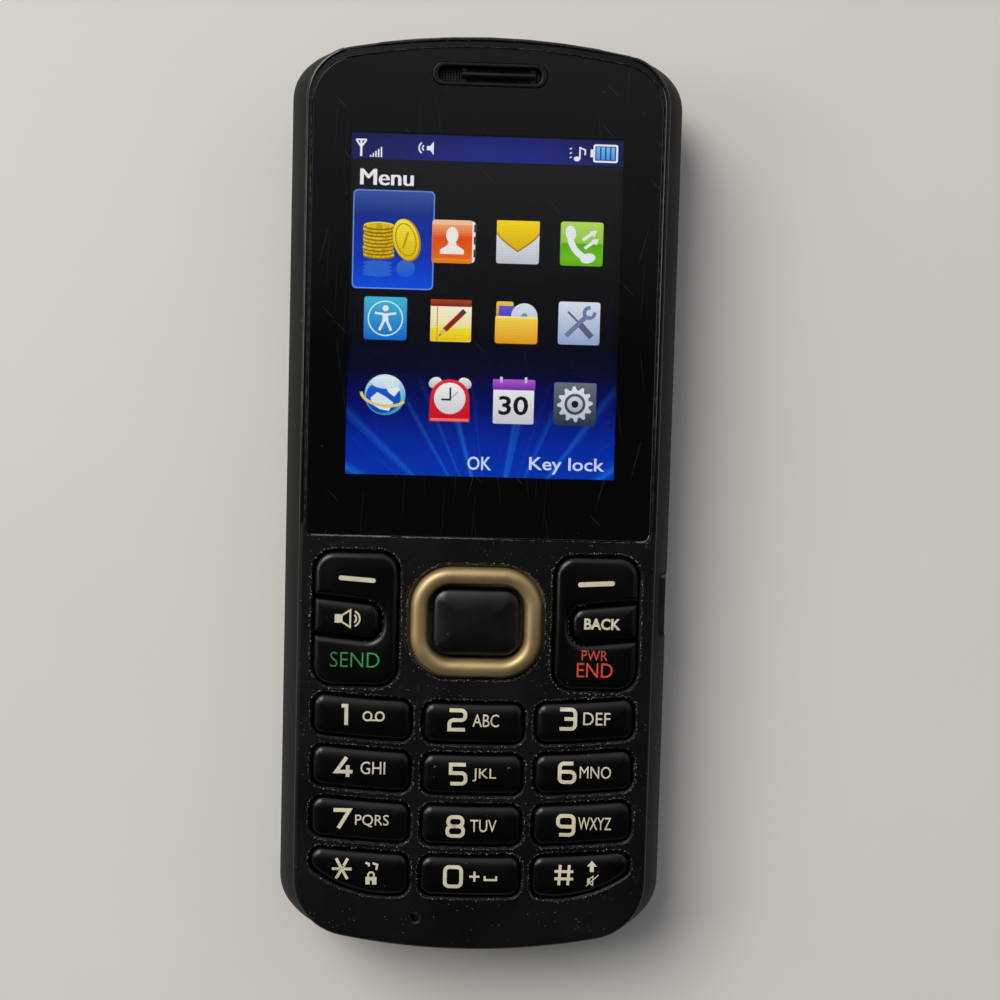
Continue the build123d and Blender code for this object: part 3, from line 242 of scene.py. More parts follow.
def makeWearGroup():
    # rubbed edges: where the rounded normal leaves the true one, broken up in patches
    tree, given, out = shaderGroup("edgeWear", {"Reach": 0.0001, "Patch": 900.0, "Amount": 0.5}, "Mask")
    rounded = valueOf(tree, "ShaderNodeBevel", {"Radius": given["Reach"]}, "Normal", samples=marks["bevelSamples"])
    true = valueOf(tree, "ShaderNodeNewGeometry", output="Normal")
    facing = valueOf(tree, "ShaderNodeVectorMath", {0: rounded, 1: true}, "Value", operation="DOT_PRODUCT")
    edge = remap(tree, minus(tree, 1.0, facing), *marks["edge"])
    rubbed = noiseIn(tree, objectSpace(tree), given["Patch"], 5.0, 0.65)
    start = minus(tree, marks["wearStart"], product(tree, given["Amount"], marks["wearShare"]))
    broken = remap(tree, rubbed, start, maths(tree, "ADD", start, marks["wearSoft"]))
    feed(tree, out, {"Mask": product(tree, edge, broken)})
    return tree


def makeDustGroup():
    # specks of lint and dust, thicker in some places than in others
    tree, given, out = shaderGroup("dustSpecks", {"Scale": 1400.0, "Size": 0.12, "Amount": 0.4}, "Mask")
    space = objectSpace(tree)
    cell = nodeIn(tree, "ShaderNodeTexVoronoi", {"Vector": space, "Scale": given["Scale"]}).outputs
    chance = axesOf(tree, cell["Color"])
    dot = below(tree, cell["Distance"], product(tree, given["Size"], chance["Y"]))
    place = remap(tree, noiseIn(tree, space, marks["dustPlaces"], 3.0), *marks["dustKept"])
    kept = below(tree, chance["X"], product(tree, place, given["Amount"]))
    feed(tree, out, {"Mask": product(tree, dot, kept)})
    return tree


def makeScratchGroup():
    # straight hairlines: one in some cells of a turned grid, thinning out towards its ends
    tree, given, out = shaderGroup("hairScratches", {"Width": 0.016, "Amount": 0.3}, "Mask")
    space = objectSpace(tree)
    total = 0.0
    for turn, across, along in marks["hairs"]:
        mapping = {"Vector": space, "Rotation": (0, 0, turn), "Scale": (across, along, 0.0)}
        grid = valueOf(tree, "ShaderNodeMapping", mapping)
        cell = valueOf(tree, "ShaderNodeVectorMath", {0: grid}, operation="FLOOR")
        inside = axesOf(tree, valueOf(tree, "ShaderNodeVectorMath", {0: grid}, operation="FRACTION"))
        chance = valueOf(tree, "ShaderNodeTexWhiteNoise", {"Vector": cell}, "Value")
        away = maths(tree, "ABSOLUTE", minus(tree, inside["X"], 0.5))
        ends = product(tree, inside["Y"], minus(tree, 1.0, inside["Y"]))
        hair = below(tree, away, product(tree, given["Width"], product(tree, ends, marks["hairTaper"])))
        there = below(tree, chance, product(tree, given["Amount"], marks["hairShare"]))
        total = maths(tree, "MAXIMUM", total, product(tree, hair, there))
    feed(tree, out, {"Mask": total})
    return tree


groups = {"grain": makeGrainGroup(), "wear": makeWearGroup(), "dust": makeDustGroup(), "scratch": makeScratchGroup()}


def useGroup(tree, name, values):
    return nodeIn(tree, "ShaderNodeGroup", node_tree=groups[name], inputs=values).outputs


def newFinish(name, look=None):
    finish = bpy.data.materials.new(name)
    finish.use_nodes = True
    tree = finish.node_tree
    grain = look and useGroup(tree, "grain", {"Grain": look["grain"], "Cloud": look["cloud"]})
    return finish, tree, tree.nodes["Principled BSDF"], grain


# Moulded and painted finishes. Sizes are per metre, depth and reach in mm.
plain = {
    "dark": (0.012, 0.012, 0.013), "light": (0.02, 0.02, 0.022), "rough": (0.4, 0.5),
    "grain": 7000.0, "cloud": 110.0, "depth": 0.004, "bump": 0.35, "metallic": 0.0, "specular": 0.5,
    "worn": (0.16, 0.155, 0.15), "reach": 0.12, "patch": 1100.0, "wear": 0.45,
    "dust": (0.34, 0.33, 0.31), "dustScale": 1500.0, "dustSize": 0.1, "dustAmount": 0.2,
}
finishes = {
    "band_plastic": {
        "dark": (0.0076, 0.0073, 0.0070), "light": (0.0096, 0.0091, 0.0087), "rough": (0.5, 0.58), "grain": 4200.0,
        "worn": (0.11, 0.10, 0.095), "reach": 0.15, "specular": 0.12, "depth": 0.008, "dustAmount": 0.3},
    "cover_plastic": {
        "dark": (0.0115, 0.0115, 0.012), "light": (0.0165, 0.0165, 0.017), "rough": (0.5, 0.62), "grain": 1700.0,
        "depth": 0.045, "bump": 0.8, "specular": 0.4, "worn": (0.07, 0.07, 0.07), "dustAmount": 0.3},
    "front_plastic": {
        "dark": (0.0017, 0.0018, 0.0023), "light": (0.0034, 0.0037, 0.0046), "rough": (0.36, 0.48), "grain": 3600.0,
        "depth": 0.012, "bump": 0.5, "worn": (0.17, 0.165, 0.155), "reach": 0.13, "wear": 0.62, "patch": 1500.0,
        "dustAmount": 0.6, "dustScale": 3600.0, "dustSize": 0.2, "specular": 0.24, "dust": (0.20, 0.195, 0.18)},
    "key_plastic": {
        "dark": (0.0011, 0.0010, 0.0010), "light": (0.0017, 0.0016, 0.0016), "rough": (0.22, 0.30), "grain": 8000.0,
        "depth": 0.002, "reach": 0.08, "wear": 0.3, "dustAmount": 0.16, "dustScale": 2200.0, "specular": 0.36},
    "rubbedPlastic": {
        "dark": (0.0013, 0.0012, 0.0012), "light": (0.0020, 0.0019, 0.0019), "rough": (0.3, 0.38), "grain": 8000.0,
        "depth": 0.002, "reach": 0.08, "wear": 0.35, "dustAmount": 0.3, "dustScale": 2400.0, "cloud": 300.0},
    "socketShell": {
        "dark": (0.05, 0.05, 0.052), "light": (0.08, 0.08, 0.082), "metallic": 1.0, "worn": (0.2, 0.2, 0.2),
        "wear": 0.2},
    "gold_plastic": {
        "dark": (0.35, 0.25, 0.113), "light": (0.465, 0.345, 0.168), "grain": 9000.0,
        "depth": 0.002, "metallic": 0.7, "worn": (0.55, 0.47, 0.33), "cloud": 180.0, "dustAmount": 0.05},
    "black_trim": {
        "dark": (0.0022, 0.0022, 0.0025), "light": (0.004, 0.004, 0.0044), "rough": (0.3, 0.42), "reach": 0.08,
        "wear": 0.3, "specular": 0.3, "dustAmount": 0.3, "dustScale": 2400.0},
    "rimGloss": {
        "dark": (0.0016, 0.0016, 0.0018), "light": (0.0028, 0.0028, 0.003), "rough": (0.12, 0.2), "reach": 0.1,
        "wear": 0.5, "patch": 1300.0, "cloud": 300.0, "depth": 0.001, "dustAmount": 0.25, "dustScale": 2600.0},
    # near-black and very matte: painted shade for the groove round the window, with dust specks
    "paintedGrooveShade": {
        "dark": (0.0008, 0.0008, 0.0008), "light": (0.0016, 0.0016, 0.0016), "rough": (0.7, 0.85), "wear": 0.0,
        "specular": 0.12, "dustAmount": 0.5, "dustScale": 3000.0, "dustSize": 0.2},
    "wornEdge": {
        "dark": (0.05, 0.049, 0.047), "light": (0.22, 0.215, 0.20), "rough": (0.4, 0.6), "cloud": 900.0, "wear": 0.0,
        "dustAmount": 0.4, "dustScale": 3000.0},
    "black_rubber": {"dark": (0.014, 0.014, 0.015), "light": (0.024, 0.024, 0.025), "rough": (0.7, 0.85), "wear": 0.1},
    "silicone": {
        "dark": (0.40, 0.41, 0.42), "light": (0.50, 0.51, 0.52), "rough": (0.5, 0.6), "worn": (0.6, 0.6, 0.6),
        "wear": 0.1},
    "foam_tape": {
        "dark": (0.015, 0.015, 0.016), "light": (0.04, 0.04, 0.042), "rough": (0.85, 0.95), "grain": 3000.0,
        "depth": 0.03, "wear": 0.0},
    "white_plastic": {
        "dark": (0.62, 0.61, 0.58), "light": (0.72, 0.71, 0.68), "rough": (0.42, 0.5), "worn": (0.8, 0.79, 0.76),
        "wear": 0.2},
    "chip_black": {"dark": (0.016, 0.016, 0.017), "light": (0.028, 0.028, 0.03), "rough": (0.5, 0.62), "wear": 0.2},
    "battery_shell": {
        "dark": (0.30, 0.31, 0.33), "light": (0.38, 0.39, 0.41), "rough": (0.42, 0.52), "cloud": 70.0,
        "worn": (0.6, 0.6, 0.62), "reach": 0.25, "wear": 0.4, "dustAmount": 0.1},
    "steel": {
        "dark": (0.42, 0.42, 0.43), "light": (0.56, 0.56, 0.57), "rough": (0.28, 0.42), "metallic": 1.0,
        "worn": (0.75, 0.75, 0.75), "grain": 3600.0, "dustAmount": 0.1},
    "shield_tin": {
        "dark": (0.55, 0.55, 0.54), "light": (0.68, 0.68, 0.66), "rough": (0.36, 0.5), "metallic": 1.0,
        "worn": (0.8, 0.8, 0.78), "cloud": 200.0},
    "copper_film": {
        "dark": (0.62, 0.30, 0.15), "light": (0.74, 0.40, 0.22), "rough": (0.28, 0.4), "metallic": 1.0,
        "worn": (0.85, 0.55, 0.35)},
    "contact_gold": {
        "dark": (0.74, 0.54, 0.20), "light": (0.86, 0.66, 0.30), "rough": (0.2, 0.32), "metallic": 1.0,
        "worn": (0.9, 0.75, 0.45)},
    "darkWire": {
        "dark": (0.06, 0.06, 0.062), "light": (0.10, 0.10, 0.102), "rough": (0.3, 0.45), "metallic": 0.9,
        "dustAmount": 0.3},
    "grit": {
        "dark": (0.07, 0.068, 0.064), "light": (0.46, 0.44, 0.41), "rough": (0.6, 0.8), "cloud": 3200.0, "wear": 0.0},
}


def coat(tree, shader, cloud, look, *layers, **others):
    # a clouded tone with layers of (mask, colour) over it, and its roughness
    tone = mixColour(tree, cloud, look["dark"], look["light"])
    for mask, colour in layers:
        tone = mixColour(tree, mask, tone, colour)
    rough = remap(tree, cloud, 0.0, 1.0, *look["rough"])
    feed(tree, shader, {"Base Color": tone, "Roughness": rough, **others})
    return tone


def mouldedFinish(name, changes):
    look = {**plain, **changes}
    finish, tree, shader, grain = newFinish(name, look)
    wear = useGroup(tree, "wear", {"Reach": look["reach"] * mm, "Patch": look["patch"], "Amount": look["wear"]})["Mask"]
    dust = dustMask(tree, look)
    coat(tree, shader, grain["Cloud"], look, (wear, look["worn"]), (dust, look["dust"]), **{
        "Normal": bumpOf(tree, grain["Height"], look["bump"], look["depth"]),
        "Metallic": look["metallic"], "Specular IOR Level": look["specular"]})
    return finish


def dustMask(tree, look):
    values = {"Scale": look["dustScale"], "Size": look["dustSize"], "Amount": look["dustAmount"]}
    return useGroup(tree, "dust", values)["Mask"]


def clearFinish(name, look):
    finish, tree, shader, _ = newFinish(name)
    scratch, dust = useGroup(tree, "scratch", {"Amount": look["scratched"]})["Mask"], dustMask(tree, look)
    feed(tree, shader, {
        "Base Color": mixColour(tree, dust, look["tint"], look["dust"]),
        "Roughness": remap(tree, maths(tree, "MAXIMUM", scratch, dust), 0.0, 1.0, *look["rough"]),
        "Normal": bumpOf(tree, scratch, look["bump"], look["depth"], True), "Transmission Weight": 1.0,
        "IOR": look["bending"],
    })
    return finish


def boardFinish(name, look):
    # green solder mask with faint tracks and gold rings
    finish, tree, shader, grain = newFinish(name, look)
    space = objectSpace(tree)
    brick = {"Vector": space, "Scale": look["tracks"], "Mortar Size": look["gap"]}
    tracks = valueOf(tree, "ShaderNodeTexBrick", brick, "Fac")
    pads = valueOf(tree, "ShaderNodeTexVoronoi", {"Vector": space, "Scale": look["pads"]}, "Distance")
    faint = product(tree, tracks, look["trackShare"])
    layers = (faint, look["trackTone"]), (below(tree, pads, look["padSize"]), look["padTone"])
    bump = bumpOf(tree, tracks, look["bump"], look["depth"])
    coat(tree, shader, grain["Cloud"], look, *layers, Normal=bump)
    return finish


def inkFinish(name, look):
    # printed legend, a little worn, and rubbed down towards one side
    look = {**plainInk, **look, "dark": [channel * plainInk["dull"] for channel in look["light"]]}
    finish, tree, shader, grain = newFinish(name, look)
    layers = []
    if "rubbed" in look:
        start, end = look["side"]
        side = remap(tree, axesOf(tree, objectSpace(tree))["X"], end * mm, start * mm)
        layers.append((side, look["rubbed"]))
    tone = coat(tree, shader, grain["Cloud"], look, *layers)
    feed(tree, shader, {"Emission Color": tone, "Emission Strength": look["glow"]})
    return finish


def printFinish(name, look):
    # black print of the window, with the hairlines and specks of a used surface
    look = {**plainPrint, **look}
    finish, tree, shader, grain = newFinish(name, look)
    scratch = useGroup(tree, "scratch", {"Amount": look["scratched"], "Width": look["hair"]})["Mask"]
    coat(tree, shader, grain["Cloud"], look, (scratch, look["scratch"]), (dustMask(tree, look), look["dust"]), **{
        "Normal": bumpOf(tree, scratch, look["bump"], look["depth"], True), "Specular IOR Level": look["specular"]})
    return finish


def floorFinish(name, look):
    finish, tree, shader, grain = newFinish(name, look)
    coat(tree, shader, grain["Cloud"], look)
    return finish


# Clear, printed and plain finishes, each with the function that makes it
plainClear = {"rough": (0.02, 0.16), "bump": 0.12, "depth": 0.003, "bending": 1.49,
              "dust": (0.7, 0.7, 0.7), "dustScale": 900.0, "dustSize": 0.07, "dustAmount": 0.25}
plainInk = {"rough": (0.42, 0.55), "grain": 9000.0, "cloud": 700.0, "dull": 0.78}
plainPrint = {
    "dark": (0.0012, 0.0012, 0.0014), "light": (0.0020, 0.0020, 0.0022), "grain": 4000.0, "cloud": 90.0,
    "hair": 0.013, "scratch": (0.02, 0.02, 0.021), "bump": 0.1, "depth": 0.002,
    "dust": (0.085, 0.083, 0.08), "dustScale": 1300.0, "dustSize": 0.075, "dustAmount": 0.3,
}
otherFinishes = {
    "window_clear": (clearFinish, {**plainClear, "tint": (1.0, 1.0, 1.0), "scratched": 0.16}),
    "lens_glass": (clearFinish, {**plainClear, "tint": (0.75, 0.8, 0.9), "scratched": 0.1}),
    "screen_glass": (printFinish, {"rough": (0.3, 0.4), "scratched": 0.0, "specular": 0.5}),
    "circuit_board": (boardFinish, {
        "dark": (0.004, 0.055, 0.022), "light": (0.008, 0.085, 0.035), "rough": (0.3, 0.42), "grain": 9000.0,
        "cloud": 160.0, "tracks": 420.0, "gap": 0.06, "trackShare": 0.5, "trackTone": (0.03, 0.16, 0.07),
        "bump": 0.4, "depth": 0.01, "pads": 500.0, "padSize": 0.16, "padTone": (0.62, 0.46, 0.18)}),
    "windowPrint": (printFinish, {"rough": (0.05, 0.10), "scratched": 0.22, "specular": 0.65}),
    "creamInk": (inkFinish, {"light": (0.70, 0.65, 0.46), "glow": 0.05}),
    # rubbed down to the left, between these two places across the key
    "greenInk": (inkFinish, {
        "light": (0.02, 0.37, 0.07), "glow": 0.1, "rubbed": (0.045, 0.15, 0.07), "side": (-16.8, -12.6)}),
    "redInk": (inkFinish, {"light": (0.60, 0.065, 0.03), "glow": 0.08}),
    "floor": (floorFinish, {
        "dark": (0.705, 0.683, 0.645), "light": (0.735, 0.713, 0.675), "rough": (0.55, 0.7), "grain": 1500.0,
        "cloud": 14.0}),
}
materials = {name: mouldedFinish(name, changes) for name, changes in finishes.items()}
materials.update({name: makeFinish(name, look) for name, (makeFinish, look) in otherFinishes.items()})
swapped = {"charging_port": "socketShell"}
for label, node in frame["nodes"].items():
    for place in node.material_slots:
        place.material = materials[swapped.get(label, place.material.name.split(".")[0])]
print("finishes made:", len(materials))


# Outlines: corners as (x, y, radius) in mm, counter-clockwise, drawn in by an inset
square = ((-1, -1), (1, -1), (1, 1), (-1, 1))
smallestBend = 0.06


def boxCorners(x, y, width, height, corner=0.0):
    return [(x + u * width / 2, y + v * height / 2, corner) for u, v in square]


def sided(corners, side):
    # turned over for the left side
    return [(-x, y, radius) for x, y, radius in reversed(corners)] if side < 0 else corners


def sag(bow, x):
    # how far a bow of this radius falls away beside its middle
    return bow - sqrt(bow * bow - x * x)


def looped(items):
    return list(zip(items, items[1:] + items[:1]))


def mitre(arrive, leave):
    # to the left across a corner, one unit from both its sides
    return (arrive + leave).orthogonal() / (1 + arrive.dot(leave))


def outlinePoints(corners, inset=0.0, steps=7, closed=True):
    points = []
    for index, (x, y, radius) in enumerate(corners):
        here = Vector((x, y))
        if not closed and index in (0, len(corners) - 1):
            points.append(here)
            continue
        arrive = (here - Vector(corners[index - 1][:2])).normalized()
        leave = (Vector(corners[(index + 1) % len(corners)][:2]) - here).normalized()
        inward = mitre(arrive, leave)
        corner = here + inward * inset
        if not radius:
            points.append(corner)
            continue
        bend = atan2(arrive.cross(leave), arrive.dot(leave))
        side = 1 if bend > 0 else -1
        bow = max(radius - side * inset, smallestBend)
        centre = corner + inward * bow * side
        start = corner - arrive * bow * tan(abs(bend) / 2) - centre
        points += [centre + Matrix.Rotation(bend * step / steps, 2) @ start for step in range(steps + 1)]
    return points


def skin(shape, rings, closed=True):
    # faces between each ring of vertices and the next
    for lower, upper in looped(rings) if closed else zip(rings, rings[1:]):
        for (first, second), (fourth, third) in zip(looped(lower), looped(upper)):
            shape.faces.new((first, second, third, fourth))


def meshOf(name, shape):
    mesh = bpy.data.meshes.new(name)
    shape.to_mesh(mesh)
    shape.free()
    return mesh


def ringMesh(name, corners, profile, centre=None, closedLoop=False, steps=7):
    # rings of the outline, drawn in and raised step by step
    shape = bmesh.new()
    rings = []
    for inset, height in profile:
        points = outlinePoints(corners, inset, steps)
        rings.append([shape.verts.new(Vector((*point, height)) * mm) for point in points])
    if not closedLoop:
        shape.faces.new(rings[0][::-1])
    skin(shape, rings, closedLoop)
    if centre:
        top = shape.verts.new(Vector(centre) * mm)
        for first, second in looped(rings[-1]):
            shape.faces.new((first, second, top))
    elif not closedLoop:
        shape.faces.new(rings[-1])
    return meshOf(name, shape)


def smoothed(mesh, angle=32):
    mesh.polygons.foreach_set("use_smooth", [True] * len(mesh.polygons))
    mesh.set_sharp_from_angle(angle=radians(angle))
    return mesh


def addPiece(name, mesh, finish, body, slot, *replaced):
    piece = placed(name, mesh)
    mesh.materials.clear()
    mesh.materials.append(materials[finish])
    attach(piece, body)
    if replaced:
        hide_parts(*replaced)
    return piece


caps = {}


def addCap(node, corners, profile, centre=None, finish="key_plastic", steps=7):
    mesh = smoothed(ringMesh(node + "_cap", corners, profile, centre, steps=steps))
    caps[node] = addPiece(node + "_cap", mesh, finish, node + "_body", "key_plastic", node)


# Number keys: straight sides, tops and bottoms on one shallow bow, domed caps
numberKeys = {
    "inner": 7.4, "outer": 18.85, "middle": 5.87, "bow": 187.0, "first": -23.75, "pitch": 6.13, "height": 4.72,
    "corner": 1.25, "endLift": 3.25, "endBelly": 0.75, "endTurn": 0.6, "crown": 13.03, "lowSteps": 9, "topSteps": 8,
    "names": (("key_1", "key_2", "key_3"), ("key_4", "key_5", "key_6"), ("key_7", "key_8", "key_9"),
              ("key_star", "key_0", "key_hash")),
    "profile": ((-0.5, 10.5), (-0.5, 11.1), (0, 11.1), (0, 12.2), (0.05, 12.42), (0.17, 12.6), (0.36, 12.74),
                (0.62, 12.85), (0.95, 12.93), (1.35, 12.985), (1.8, 13.015), (2.15, 13.025)),
}


def arcThrough(first, second, third, count):
    # points between first and third on the circle through all three
    start, middle, end = (complex(*point) for point in (first, second, third))
    ratio = (end - start) / (middle - start)
    centre = start + (middle - start) * (ratio - abs(ratio) ** 2) / (2j * ratio.imag)
    sweep = phase((end - centre) / (start - centre))
    places = [centre + (start - centre) * rect(1, sweep * (index + 1) / (count + 1)) for index in range(count)]
    return [(place.real, place.imag) for place in places]


def numberKeyCorners(column, row):
    k = numberKeys
    near, far = (k["inner"], k["outer"]) if column else (-k["middle"], k["middle"])
    top = k["first"] - k["pitch"] * row
    low = top - k["height"]
    lowNear, lowTurn, lowFar = ((x, low + sag(k["bow"], x)) for x in (near, (near + far) / 2, far))
    if column and row == len(k["names"]) - 1:  # the last row's outer keys follow the end of the case
        lowTurn, lowFar = (near + (far - near) * k["endTurn"], low + k["endBelly"]), (far, low + k["endLift"])
    curve = arcThrough(lowNear, lowTurn, lowFar, k["lowSteps"])[1:-1]
    corners = [(*lowNear, k["corner"]), *((*point, 0) for point in curve), (*lowFar, k["corner"])]
    last = k["topSteps"]
    for step in (0, *range(2, last - 1), last):
        x = far + (near - far) * step / last
        corners.append((x, top + sag(k["bow"], x), k["corner"] if step in (0, last) else 0))
    return sided(corners, column)


def makeNumberKeys():
    for row, names in enumerate(numberKeys["names"]):
        for column, node in zip((-1, 0, 1), names):
            low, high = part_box(node)
            x, y, _ = (low + high) / 2 / mm
            addCap(node, numberKeyCorners(column, row), numberKeys["profile"], (x, y, numberKeys["crown"]))


# The two pips that mark the middle key
pips = {"x": 4.35, "y": -31.45, "radius": 0.3, "length": 0.75, "rise": 0.13, "sink": 0.12, "round": 0.98, "steps": 5,
        "shape": ((0.06, 0.6), (0.16, 0.92), (0.24, 1.0))}  # inset, share of the rise


def makePips():
    for side, name in ((-1, "left_pip"), (1, "right_pip")):
        x, y, radius = side * pips["x"], pips["y"], pips["radius"]
        corners = boxCorners(x, y, 2 * radius, pips["length"], radius * pips["round"])
        top = surfaceHeight("key_5", x, y)
        profile = [(0, top - pips["sink"]), (0, top)]
        profile += [(inset, top + pips["rise"] * share) for inset, share in pips["shape"]]
        mesh = smoothed(ringMesh(name, corners, profile, steps=pips["steps"]))
        addPiece(name, mesh, "key_plastic", "key_5_body", "key_plastic")


# Function keys: a rocker on each side with a small key in its notch
functionKeys = {
    "inner": 9.2, "outer": 19.0, "top": -6.1, "bottom": -21.85, "corner": 2.3,
    "smallInner": 11.3, "smallTop": -12.3, "smallBottom": -16.4, "slope": 0.8, "smallCorner": 1.5, "gap": 0.3,
    "notchCorner": 0.25, "smallFarCorner": 0.35, "smallCrown": 12.94,
    "rockerProfile": ((-0.4, 10.3), (-0.4, 10.9), (0, 10.9), (0, 12.25), (0.05, 12.5), (0.16, 12.71), (0.34, 12.87),
                      (0.58, 12.97), (0.8, 13.01)),
    "smallProfile": ((-0.35, 10.3), (-0.35, 10.9), (0, 10.9), (0, 12.2), (0.05, 12.42), (0.16, 12.6), (0.34, 12.74),
                     (0.62, 12.84), (1.0, 12.9), (1.4, 12.93)),
}


def rockerCorners():
    k = functionKeys
    middle = ((k["inner"] + k["outer"]) / 2, (k["top"] + k["bottom"]) / 2)
    return boxCorners(*middle, k["outer"] - k["inner"], k["top"] - k["bottom"], k["corner"])


def smallCorners(grow, nearCorner, farCorner):
    k = functionKeys
    near, far, low, top = k["smallInner"] - grow, k["outer"], k["smallBottom"] - grow, k["smallTop"] + grow
    return [(near, low, nearCorner), (far, low + k["slope"], farCorner), (far, top + k["slope"], farCorner),
            (near, top, nearCorner)]


def makeFunctionKeys():
    k = functionKeys
    notch = smallCorners(k["gap"], k["smallCorner"] + k["gap"], k["notchCorner"])
    frameCorners = rockerCorners()
    rocker = frameCorners[:2] + [notch[place] for place in (1, 0, 3, 2)] + frameCorners[2:]
    small = smallCorners(0, k["smallCorner"], k["smallFarCorner"])
    x, y = (k["smallInner"] + k["outer"]) / 2, (k["smallTop"] + k["smallBottom"] + k["slope"]) / 2
    for side, rockerNode, smallNode in ((-1, "left_rocker_key", "speaker_key"), (1, "right_rocker_key", "back_key")):
        addCap(rockerNode, sided(rocker, side), k["rockerProfile"])
        addCap(smallNode, sided(small, side), k["smallProfile"], (side * x, y, k["smallCrown"]))


# Navigation ring and the key inside it
pad = {
    "ring": (0, -14.1, 15.4, 12.9, 4.75), "band": 2.0, "crown": 13.5, "shoulder": 12.45, "fullness": 0.85,
    "ringSteps": 16, "cornerSteps": 14, "wall": 0.4, "skirt": ((-0.6, 10.5), (-0.6, 10.9), (0, 10.9)), "foot": 10.5,
    "ok": (0, -14.1, 10.3, 7.85, 1.8), "okCentre": (0, -14.1, 13.1), "okSteps": 9,
    "okProfile": ((0, 10.0), (0, 12.2), (0.05, 12.4), (0.17, 12.57), (0.38, 12.7), (0.75, 12.83), (1.2, 12.93),
                  (1.7, 13.01), (2.3, 13.07), (2.9, 13.1)),
}


def makePad():
    p = pad
    profile = [*p["skirt"], (0, p["shoulder"] - p["wall"])]
    for step in range(p["ringSteps"] + 1):
        angle = pi * step / p["ringSteps"]
        height = p["shoulder"] + (p["crown"] - p["shoulder"]) * sin(angle) ** p["fullness"]
        profile.append((p["band"] / 2 * (1 - cos(angle)), height))
    profile += [(p["band"], p["shoulder"] - p["wall"]), (p["band"], p["foot"])]
    mesh = smoothed(ringMesh("nav_ring_band", boxCorners(*p["ring"]), profile, closedLoop=True, steps=p["cornerSteps"]))
    addPiece("nav_ring_band", mesh, "gold_plastic", "nav_ring_body", "gold_plastic", "nav_ring")
    addCap("ok_key", boxCorners(*p["ok"]), p["okProfile"], p["okCentre"], "rubbedPlastic", p["okSteps"])


probe = {"from": 30.0, "bare": 13.0}  # height in mm that the ray starts at, and the height where it meets nothing
trees = {}


def surfaceHeight(node, x, y):
    if node not in trees:
        shape = bmesh.new()
        shape.from_mesh(caps[node].data)
        trees[node] = BVHTree.FromBMesh(shape)
        shape.free()
    hit = trees[node].ray_cast(Vector((x, y, probe["from"])) * mm, Vector((0, 0, -1)))[0]
    return hit.z / mm if hit else probe["bare"]


# Legends: strokes and words, laid on the caps as thin print
ink = {"thick": 0.02, "lift": 0.012, "slice": 0.45, "weld": 1e-7, "bend": 0.5, "bendAcross": 0.45, "bendUp": 0.24,
       "dashRound": 0.49, "bendSteps": 5, "letterSteps": 3}


def strokeFaces(path, width, closed=False):
    # a stroke of even width along a path of (x, y, radius)
    points = outlinePoints(path, steps=ink["bendSteps"], closed=closed)
    ways = [(after - point).normalized() for point, after in looped(points)]
    if not closed:
        ways[-1] = ways[-2]
    edges = []
    for index, point in enumerate(points):
        arrive = ways[index - 1] if index or closed else ways[0]
        across = mitre(arrive, ways[index]) * width / 2
        edges.append((point + across, point - across))
    pairs = looped(edges) if closed else looped(edges)[:-1]
    return [[right, nextRight, nextLeft, left] for (left, right), (nextLeft, nextRight) in pairs]


def arc(x, y, across, up, start, end, count, turn=0.0):
    # points on an ellipse, from start to end in half turns
    angles = [pi * (start + (end - start) * index / count) for index in range(count + 1)]
    places = [Matrix.Rotation(turn, 2) @ Vector((across * cos(angle), up * sin(angle))) for angle in angles]
    return [Vector((x, y)) + place for place in places]


